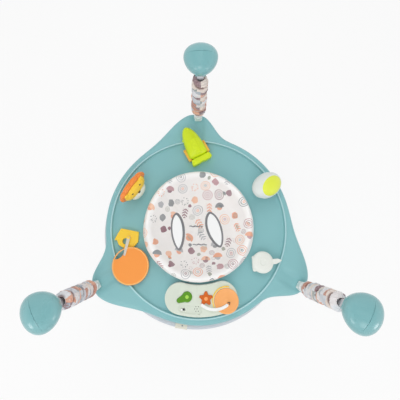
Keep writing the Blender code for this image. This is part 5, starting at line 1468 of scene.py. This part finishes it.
spinner_top = FACE_TOP + 0.0040
disc_line = [
    (0, 0, FACE_TOP + 0.0004), (0.0336, 0, FACE_TOP + 0.0004), (0.0345, 0, FACE_TOP + 0.0012),
    (0.0345, 0, spinner_top - 0.0012), (0.0341, 0, spinner_top - 0.0004), (0.0333, 0, spinner_top),
    (0.0306, 0, spinner_top), (0.0298, 0, spinner_top - 0.0004), (0.0080, 0, spinner_top - 0.0004),
    (0.0072, 0, spinner_top), (0.0040, 0, spinner_top + 0.0003), (0, 0, spinner_top + 0.0003)]
spinner = set_at(turned(disc_line, 96), desk @ Matrix.Translation((*SPINNER_SPOT, 0)))
peach_plastic = finish("peach_plastic", 255, 178, 108, rough=0.36)
mounted("peach_wheel", spinner, peach_plastic, "spinner", "peach_disc", 30.0)
axle = turned([(0, 0, FACE_LOW - 0.004), (0.0040, 0, FACE_LOW - 0.004), (0.0040, 0, FACE_TOP + 0.001), (0, 0, FACE_TOP + 0.001)], 24)
mounted("peach_axle", set_at(axle, desk @ Matrix.Translation((*SPINNER_SPOT, 0))), peach_plastic, "spinner", None)

yellow_plastic = finish("yellow_plastic", 252, 210, 62, rough=0.36)
for name, inner, wide, high, look, slot_name in (
        ("spinner_rim", SPINNER_RADIUS + 0.0024, 0.0030, spinner_top, yellow_plastic, "yellow_plastic"),
        ("spinner_lip", SPINNER_RADIUS + 0.0008, 0.0016, spinner_top - 0.0006, cream_plastic, "cream_plastic")):
    wall = slab(band(inner + wide / 2, wide / 2, 79, 204, SPINNER_SPOT, 40), FACE_TOP - 0.001, high, 0.0004)
    mounted(name, set_at(wall, desk), look, "tray", None)

# The trim stands on a foot at its left end and passes over the disc, and a dark chevron at its tip is a painted shadow
# of the trim's end.
TRIM_CENTRE = (0.0440, -0.1720)
TRIM_RADIUS = 0.0590
trim_low = spinner_top + 0.0008
sweep = slab(band(TRIM_RADIUS, 0.0042, 234, 306, TRIM_CENTRE, 40), trim_low, trim_low + 0.0024, 0.0009)
foot = slab(band(TRIM_RADIUS, 0.0025, 237, 254, TRIM_CENTRE, 12), FACE_TOP - 0.0006, trim_low + 0.001)
mounted("console_sweep", set_at(joined(sweep, foot), desk), trim_white, "tray", "console_trim", 30.0)
dark_plastic = finish("dark_plastic", 62, 62, 66, rough=0.45)
tip = Vector((*arc(TRIM_CENTRE, TRIM_RADIUS, 317.0, 317.0, 1)[0], 0))
# Painted shadow: two dark strokes in a chevron at the trim's tip.
shadow_strokes = [
    set_at(block((-0.0066, -0.0008, trim_low + 0.0002), (0.0006, 0.0008, trim_low + 0.0030), 0.0003),
           desk @ Matrix.Translation(tip) @ Matrix.Rotation(math.radians(38.5 + turn), 4, "Z"))
    for turn in (-38, 38)]
mounted("trim_tip_shadow", joined(*shadow_strokes), dark_plastic, "tray", None)

knob_at = desk @ Matrix.Translation((SWITCH_SPOT[0] - 0.0035, SWITCH_SPOT[1], FACE_TOP))
knob = block((-0.0024, -0.0026, -0.0026), (0.0024, 0.0026, 0.0024), 0.0006)
keeper = block((-0.006, -0.004, -0.0042), (0.006, 0.004, -0.0034))
mounted("switch_knob", set_at(knob, knob_at), trim_white, "switch", "power_switch")
mounted("switch_keeper", set_at(keeper, knob_at), dark_plastic, "switch", None)


# The crocodile is a lime head that snaps. Its upper jaw is hinged in front of a flared collar, over
# a lower jaw with two cheek lumps, between two yellow feet.

crocodile_at = stand(-0.0084, 0.2345, 119.3)
JAW_BACK = -0.0265
JAW_LENGTH = 0.102
JAW_HALF_WIDTH = 0.0300
JAW_TURN_DEG = -2.6
JAW_HEIGHT = 0.025
JAW_LOW = 0.0188
SCUTE_STEP = 0.0105


def ball_of(across=64, down=32):
    """A round ball of radius 1 with its poles on X."""
    shape = bmesh.new()
    bmesh.ops.create_uvsphere(shape, u_segments=across, v_segments=down, radius=1.0)
    return set_at(shape, Matrix.Rotation(math.radians(90), 4, "Y"))


def ease(value, low, high):
    """A soft step from 0 to 1 between two values."""
    share = min(1.0, max(0.0, (value - low) / (high - low)))
    return share * share * (3 - 2 * share)


lime_plastic = finish("lime_plastic", 214, 236, 24, rough=0.36)
jaw_at = crocodile_at @ Matrix.Rotation(math.radians(JAW_TURN_DEG), 4, "Z")
jaw = ball_of(96, 72)
for vert in jaw.verts:
    x, y, z = vert.co
    along = (x + 1) / 2
    swing = math.hypot(y, z)
    side, up = (y / swing, max(0.0, z / swing)) if swing > 0.0001 else (0.0, 0.0)
    width = JAW_HALF_WIDTH * max(0.0, 1 - along ** 2.7) ** 0.55 * ease(along, -0.10, 0.06)
    rise = JAW_HEIGHT * (1 - x * x) ** 0.4 * (1 - 0.26 * ease(along, 0.45, 0.9))
    height = rise * up ** 0.8
    panel = (1 - ease(abs(width * side), 0.0078, 0.0094)) * ease(along, 0.04, 0.09) * (1 - ease(along, 0.52, 0.60))
    scute = 0.5 + 0.5 * math.cos(2 * math.pi * along * JAW_LENGTH / SCUTE_STEP)
    height += up * panel * (0.0006 + 0.0010 * scute ** 0.5)
    vert.co = (JAW_BACK + JAW_LENGTH * along, width * side, JAW_LOW + height)
nostrils = [
    set_at(ball_of(24, 12), Matrix.Translation((0.0650, side * 0.0042, JAW_LOW + 0.0118)) @ Matrix.Diagonal((0.0042, 0.0028, 0.0026, 1)))
    for side in (-1, 1)]
teeth = []
for side in (-1, 1):
    for step in range(5):
        along = 0.34 + 0.105 * step
        spot = (JAW_BACK + JAW_LENGTH * along, side * (JAW_HALF_WIDTH * (1 - along ** 2.7) ** 0.55 - 0.0022), JAW_LOW)
        teeth.append(set_at(turned([(0, 0, 0.001), (0.0017, 0, 0.001), (0.0015, 0, -0.0004), (0.0006, 0, -0.0026), (0, 0, -0.0029)], 16),
                            Matrix.Translation(spot)))
bmesh.ops.remove_doubles(jaw, verts=jaw.verts, dist=0.00001)
mounted("crocodile_upper_jaw", set_at(joined(jaw, *nostrils), jaw_at), lime_plastic, "crocodile_head", "crocodile_jaw",
        40.0)
mounted("crocodile_teeth", set_at(joined(*teeth), jaw_at), console_white, "crocodile_head", None)

collar_outline = [
    (-0.0465, -0.0285), (-0.0440, -0.0330), (-0.0360, -0.0325), (-0.0280, -0.0290), (-0.0280, 0.0290),
    (-0.0360, 0.0325), (-0.0440, 0.0330), (-0.0465, 0.0285), (-0.0470, 0.0100), (-0.0448, 0.0),
    (-0.0470, -0.0100)]
collar = slab(collar_outline, 0.0003, 0.0262, 0.0032, 0.0016)
belly = block((-0.0325, -0.0225, 0.0033), (0.012, 0.0225, 0.0180), 0.002)
chin_line = [(0.0, -0.0150), (0.030, -0.0168), (0.046, -0.0132), (0.056, -0.0050), (0.056, 0.0050), (0.046, 0.0132), (0.030, 0.0168), (0.0, 0.0150)]
chin = slab(chin_line, 0.0147, 0.0176, 0.0008, 0.002)
cheeks = [
    set_at(ball_of(32, 16), Matrix.Translation((0.0395, side * 0.0190, 0.0160)) @ Matrix.Diagonal((0.0068, 0.0060, 0.0016, 1)))
    for side in (-1, 1)]
mounted("crocodile_collar", set_at(joined(collar, belly, chin, *cheeks), crocodile_at), lime_plastic, "tray",
        "crocodile_base")

foot_yellow = finish("foot_yellow", 247, 192, 72, rough=0.38)
feet = [block((-0.0265, -0.031, 0.0003), (0.004, 0.031, 0.0030), 0.0006)]
for side in (-1, 1):
    middle = side * 0.0313
    feet.append(block((-0.0262, middle - 0.0052, 0.0003), (-0.012, middle + 0.0052, 0.0160), 0.0020))
    feet.append(block((-0.0262, middle - 0.0058, 0.0105), (0.0060, middle + 0.0058, 0.0180), 0.0032, 4))
    for toe in (-1, 0, 1):
        knob = Matrix.Translation((0.0085, middle + toe * 0.0036, 0.0138)) @ Matrix.Diagonal((0.0062, 0.0024, 0.0036, 1))
        feet.append(set_at(ball_of(24, 12), knob))
mounted("crocodile_feet", set_at(joined(*feet), crocodile_at), foot_yellow, "tray", "crocodile_legs")


# The lion's head leans on a cream post and rocks. A scalloped orange mane stands behind a domed yellow
# face, with a white muzzle.

lion_at = stand(-0.1944, 0.1078, -35.0)
LION_PIVOT = Vector((-0.006, 0, 0.026))
MANE_RADIUS = 0.053
MANE_THICKNESS = 0.014
MANE_TURN_DEG = 90.0
MANE_HEIGHT = 0.060
MANE_TUFTS = 10
face_low = MANE_THICKNESS / 2 + 0.0003
POST_HALF = 0.012
head_turn = Matrix.Translation((0, 0, MANE_HEIGHT)) @ Matrix.Rotation(math.radians(MANE_TURN_DEG), 4, "Y")
head_at = lion_at @ head_turn


def mane_ring(grow):
    """The mane's scalloped outline, grown or drawn in."""
    points = []
    for step in range(180):
        turn = 2 * math.pi * step / 180
        reach = MANE_RADIUS + grow - 0.0040 * (1 - abs(math.sin(turn * MANE_TUFTS / 2)) ** 0.7)
        points.append((reach * math.cos(turn), reach * math.sin(turn)))
    return points


half = MANE_THICKNESS / 2
mane = lofted([
    (mane_ring(-0.0100), -half), (mane_ring(-0.0045), -half), (mane_ring(-0.0018), -half + 0.0012),
    (mane_ring(-0.0004), -half + 0.0036), (mane_ring(0.0), 0.0), (mane_ring(-0.0004), half - 0.0036),
    (mane_ring(-0.0018), half - 0.0012), (mane_ring(-0.0045), half), (mane_ring(-0.0100), half)])
notch = block((-0.05, -POST_HALF - 0.0025, -0.02), (0.05, POST_HALF + 0.0025, LION_PIVOT.z + 0.005))
mane = cut_by(set_at(mane, head_turn), notch)
mane_orange = finish("mane_orange", 246, 140, 58, rough=0.4)
knuckle = turned([(0, 0, -0.011), (0.0058, 0, -0.011), (0.0058, 0, 0.011), (0, 0, 0.011)], 32)
set_at(knuckle, lion_at @ Matrix.Translation(LION_PIVOT) @ Matrix.Rotation(math.radians(90), 4, "X"))
neck = turned([(0, 0, -0.002), (0.0055, 0, -0.002), (0.0055, 0, 0.0130), (0, 0, 0.0130)], 24)
lean = Vector((0.005, 0, 0.012)).to_track_quat("Z", "Y").to_matrix().to_4x4()
set_at(neck, lion_at @ Matrix.Translation(LION_PIVOT) @ lean)
mounted("lion_ruff", joined(set_at(mane, lion_at), knuckle, neck), mane_orange, "lion_head", "lion_mane")


def dome(radii, low, spot=(0, 0), across=64, down=32):
    """The upper half of a ball, stretched to three radii, with a flat underside at a height."""
    shape = bmesh.new()
    bmesh.ops.create_uvsphere(shape, u_segments=across, v_segments=down, radius=1.0)
    for vert in shape.verts:
        x, y, z = vert.co
        vert.co = (spot[0] + radii[0] * x, spot[1] + radii[1] * y, low + radii[2] * max(0.0, z))
    bmesh.ops.remove_doubles(shape, verts=shape.verts, dist=0.00001)
    return shape


lion_face = dome((0.038, 0.042, 0.019), face_low)
ears = [dome((0.0085, 0.0085, 0.0060), face_low, (-0.026, side * 0.031), 32, 16) for side in (-1, 1)]
lion_yellow = finish("lion_yellow", 255, 210, 62, rough=0.38)
mounted("lion_cheeks", set_at(joined(lion_face, *ears), head_at), lion_yellow, "lion_head", "lion_face")
muzzle = set_at(ball_of(64, 32), Matrix.Translation((0.014, 0, face_low + 0.0125)) @ Matrix.Diagonal((0.0190, 0.0280, 0.0160, 1)))
mounted("lion_muzzle", set_at(muzzle, head_at), console_white, "lion_head", None)
features = [((-0.0250, 0.0165, 0.0192), (0.0030, 0.0030, 0.0018)), ((-0.0250, -0.0165, 0.0192), (0.0030, 0.0030, 0.0018)),
            ((-0.0060, 0.0, 0.0272), (0.0028, 0.0046, 0.0024))]
spots = [
    set_at(ball_of(24, 12), Matrix.Translation(spot) @ Matrix.Diagonal((*radii, 1))) for spot, radii in features]
mounted("lion_eyes_and_nose", set_at(joined(*spots), head_at), dark_plastic, "lion_head", None)

lion_foot = turned([
    (0, 0, 0.0003), (0.0196, 0, 0.0003), (0.0200, 0, 0.0008), (0.0200, 0, 0.0028), (0.0190, 0, 0.0038), (0, 0, 0.0042)], 48)
set_at(lion_foot, Matrix.Translation((-0.006, 0, 0)))
saddle = turned([(0, 0, -0.03), (0.0063, 0, -0.03), (0.0063, 0, 0.03), (0, 0, 0.03)], 32)
set_at(saddle, Matrix.Translation(LION_PIVOT) @ Matrix.Rotation(math.radians(90), 4, "X"))
post = cut_by(block((-0.017, -POST_HALF, 0.0003), (0.003, POST_HALF, LION_PIVOT.z - 0.003), 0.0018), saddle)
mounted("lion_pedestal", set_at(joined(post, lion_foot), lion_at), cream_plastic, "tray", "lion_post")


# The fruit is an orange disc with a leaf-shaped hole, that hangs on a cream tether from the pin of a
# yellow holder.

fruit_at = stand(-0.2050, -0.0360)
HOLDER_TOP = 0.0108
DISC_SPOT = (0.008, -0.0797)
DISC_RADIUS = 0.0535
DISC_LOW = 0.0137
DISC_TOP = 0.0207
TETHER_END = (-0.0098, -0.0480)
LEAF_BEARING = 136
LEAF_HALF_CHORD = 0.0195
LEAF_INNER_RADIUS = 0.0256

holder_line = [
    (-0.025, 0.027), (-0.035, 0.011), (-0.044, -0.008), (-0.0365, -0.006), (-0.030, -0.021),
    (-0.013, -0.031), (0.015, -0.026), (0.027, -0.012), (0.028, 0.017)]
holder = slab(holder_line, 0.0003, HOLDER_TOP, 0.0014, 0.0026)
finger_hole = slab(arc((-0.0105, -0.0105), 0.0090, 0, 354, 59), -0.01, 0.03)
pin = turned([
    (0, 0, 0.005), (0.0045, 0, 0.005), (0.0045, 0, 0.0207), (0.0025, 0, 0.0207), (0.0025, 0, 0.0238),
    (0.0040, 0, 0.0238), (0.0040, 0, 0.0248), (0.0030, 0, 0.0255), (0, 0, 0.0257)], 32)
holder = joined(cut_by(holder, finger_hole), pin)
mounted("fruit_branch", set_at(holder, fruit_at), yellow_plastic, "tray", "fruit_holder", 30.0)

along = math.degrees(math.atan2(TETHER_END[1], TETHER_END[0]))
strap_line = arc(TETHER_END, 0.0032, along - 90, along + 90, 16) + arc((0, 0), 0.0048, along + 90, along + 270, 16)
eye = slab(arc((0, 0), 0.0028, 0, 345, 23), -0.01, 0.04)
strip = cut_by(slab(strap_line, 0.0210, 0.0235, 0.0008), eye)
rivet = turned([(0, 0, 0.0150), (0.0021, 0, 0.0150), (0.0021, 0, 0.0215), (0, 0, 0.0215)], 24)
set_at(rivet, Matrix.Translation((*TETHER_END, 0)))
tether_cream = finish("tether_cream", 214, 208, 196, rough=0.5)
mounted("fruit_tie", set_at(joined(strip, rivet), fruit_at), tether_cream, "fruit", "fruit_tether")

hollow = DISC_RADIUS - 0.0035
half_turn = math.degrees(math.asin(LEAF_HALF_CHORD / hollow))
sink = hollow * math.cos(math.radians(half_turn)) + math.sqrt(LEAF_INNER_RADIUS ** 2 - LEAF_HALF_CHORD ** 2)
low_turn = math.degrees(math.asin(LEAF_HALF_CHORD / LEAF_INNER_RADIUS))
leaf_middle = arc((0, 0), sink, LEAF_BEARING, LEAF_BEARING, 1)[0]
leaf = arc((0, 0), hollow, LEAF_BEARING - half_turn, LEAF_BEARING + half_turn, 24)
leaf += arc(leaf_middle, LEAF_INNER_RADIUS, LEAF_BEARING + 180 - low_turn, LEAF_BEARING + 180 + low_turn, 24)[1:-1]
disc_line = [
    (0, 0, DISC_LOW), (DISC_RADIUS - 0.0010, 0, DISC_LOW), (DISC_RADIUS, 0, DISC_LOW + 0.0010),
    (DISC_RADIUS, 0, DISC_TOP - 0.0022), (DISC_RADIUS - 0.0006, 0, DISC_TOP - 0.0009),
    (DISC_RADIUS - 0.0020, 0, DISC_TOP - 0.0001), (DISC_RADIUS - 0.0036, 0, DISC_TOP - 0.0003),
    (DISC_RADIUS - 0.0090, 0, DISC_TOP), (0, 0, DISC_TOP)]
disc = set_at(turned(disc_line, 128), Matrix.Translation((*DISC_SPOT, 0)))
leaf_cut = slab(moved_to(leaf, DISC_SPOT), -0.01, 0.05)
nub_hole = slab(arc(TETHER_END, 0.0025, 0, 345, 23), -0.01, 0.05)
orange_plastic = finish("orange_plastic", 252, 158, 72, rough=0.36)
disc = cut_by(disc, joined(leaf_cut, nub_hole))
mounted("fruit_slice", set_at(disc, fruit_at), orange_plastic, "fruit", "orange_disc", 30.0)
bead_line = [(DISC_RADIUS - 0.0026 + 0.0013 * math.cos(turn), 0, DISC_TOP - 0.0003 + 0.0008 * math.sin(turn))
             for turn in (2 * math.pi * step / 12 for step in range(12))]
bead = set_at(turned([*bead_line, bead_line[0]], 128), Matrix.Translation((*DISC_SPOT, 0)))
pale_orange = finish("pale_orange", 253, 196, 120, rough=0.36)
mounted("fruit_peel", set_at(bead, fruit_at), pale_orange, "fruit", None)


# The whale is a flat white body that turns on a cream post, with a tail, a blunt brow and a round boss.

whale_at = stand(0.1860, -0.1045, 3.6)
WHALE_RADIUS = 0.031
WHALE_LOW = 0.0063
WHALE_THICKNESS = 0.019

body = bmesh.new()
bmesh.ops.create_uvsphere(body, u_segments=96, v_segments=48, radius=1.0)
for vert in body.verts:
    x, y, z = vert.co
    flat = WHALE_THICKNESS / 2 * math.copysign(abs(z) ** 0.65, z)
    vert.co = (WHALE_RADIUS * x, WHALE_RADIUS * y, WHALE_LOW + WHALE_THICKNESS / 2 + flat)
brow_line = [(-0.0200, 0.0210), (-0.0300, 0.0185), (-0.0310, -0.0120), (-0.0290, -0.0250), (-0.0140, -0.0240), (0.0, 0.0)]
brow = slab(brow_line, WHALE_LOW + 0.003, WHALE_LOW + 0.0105, 0.0022, 0.004)
tail_line = [(0.022, -0.0075), (0.040, -0.0065), (0.0495, -0.0020), (0.0560, 0.0030), (0.044, 0.0080), (0.030, 0.0075), (0.020, 0.0060)]
tail = slab(tail_line, 0.0150, 0.0210, 0.0018, 0.0016)
boss_line = [(0, 0, 0.0240), (0.0118, 0, 0.0240), (0.0118, 0, 0.0251), (0.0112, 0, 0.0257), (0.0095, 0, 0.0257), (0.0088, 0, 0.0252), (0, 0, 0.0252)]
boss = turned(boss_line, 48)
whale_white = finish("whale_white", 236, 239, 232, rough=0.4)
mounted("whale", set_at(joined(body, brow, tail, boss), whale_at), whale_white, "whale", "whale_body")
pivot_line = [(0, 0, 0.0003), (0.0126, 0, 0.0003), (0.0130, 0, 0.0008), (0.0130, 0, 0.0052), (0.0124, 0, 0.0058), (0, 0, 0.0058)]
mounted("whale_pivot", set_at(turned(pivot_line, 40), whale_at), cream_plastic, "tray", "whale_post")


# The ball is white, in stepped shells about one axis, and ends in a lime face. It turns on a post.

ball_at = stand(0.1990, 0.1160, 30.0)
BALL_RADII = Vector((0.0480, 0.0376, 0.036))
BALL_HEIGHT = 0.048
FACE_PLANE = 0.024
FACE_TURN_DEG = -60.0
FACE_RISE_DEG = 60.0
SHELL_STEPS = (0.25, -0.12, -0.45)

face_way = Vector((*arc((0, 0), math.cos(math.radians(FACE_RISE_DEG)), FACE_TURN_DEG, FACE_TURN_DEG, 1)[0],
                   math.sin(math.radians(FACE_RISE_DEG))))
unit_way = Vector([radius * part for radius, part in zip(BALL_RADII, face_way)])
plane_share = FACE_PLANE / unit_way.length
ball_place = (ball_at @ Matrix.Translation((0, 0, BALL_HEIGHT)) @ Matrix.Diagonal((*BALL_RADII, 1))
              @ unit_way.normalized().to_track_quat("Z", "Y").to_matrix().to_4x4())


def shell_profile(low, high, inset, steps=64):
    """The ball's outline between two shares of its axis, stepped inwards at each shell."""
    points = []
    for step in range(steps + 1):
        turn = math.acos(high) + (math.acos(low) - math.acos(high)) * step / steps
        share = math.cos(turn)
        size = 1 - inset - sum(0.046 * ease(edge - share, -0.005, 0.005) for edge in SHELL_STEPS)
        points.append((size * math.sin(turn), 0, size * share))
    return [(0, 0, points[0][2]), *points, (0, 0, points[-1][2])]


shells = turned(shell_profile(-1.0, plane_share - 0.004, 0.0, 120), 96)
mounted("ball_shells", set_at(shells, ball_place), finish("ball_white", 226, 232, 229, rough=0.36), "ball", "toy_ball",
        60.0)
lime_face = turned(shell_profile(plane_share + 0.004, 1.0, 0.022), 96)
mounted("ball_lime", set_at(lime_face, ball_place), finish("ball_lime", 232, 242, 78, rough=0.34), "ball", "ball_face",
        40.0)
post_line = [(0, 0, 0.0003), (0.0146, 0, 0.0003), (0.0150, 0, 0.0008), (0.0150, 0, 0.0042), (0.0144, 0, 0.0048),
             (0.0060, 0, 0.0052), (0.0058, 0, 0.0180), (0, 0, 0.0180)]
mounted("ball_pivot", set_at(turned(post_line, 40), ball_at), cream_plastic, "tray", "ball_post")


# Inside the console are two cells behind their door, the circuit board and the speaker. These four keep
# their CAD shapes.

battery_shell = finish("battery_shell", 52, 92, 150, rough=0.35, metal=0.3, coat=0.3)
board_green = finish("board_green", 34, 98, 62, rough=0.45, drift=0.12, grain=300.0)
speaker_black = finish("speaker_black", 38, 38, 42, rough=0.6, relief=0.3)
for node_name, look in (
        ("batteries", battery_shell), ("battery_door", pale_plastic), ("circuit_board", board_green),
        ("speaker", speaker_black)):
    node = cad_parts[node_name]
    node.data.materials.clear()
    node.data.materials.append(look)
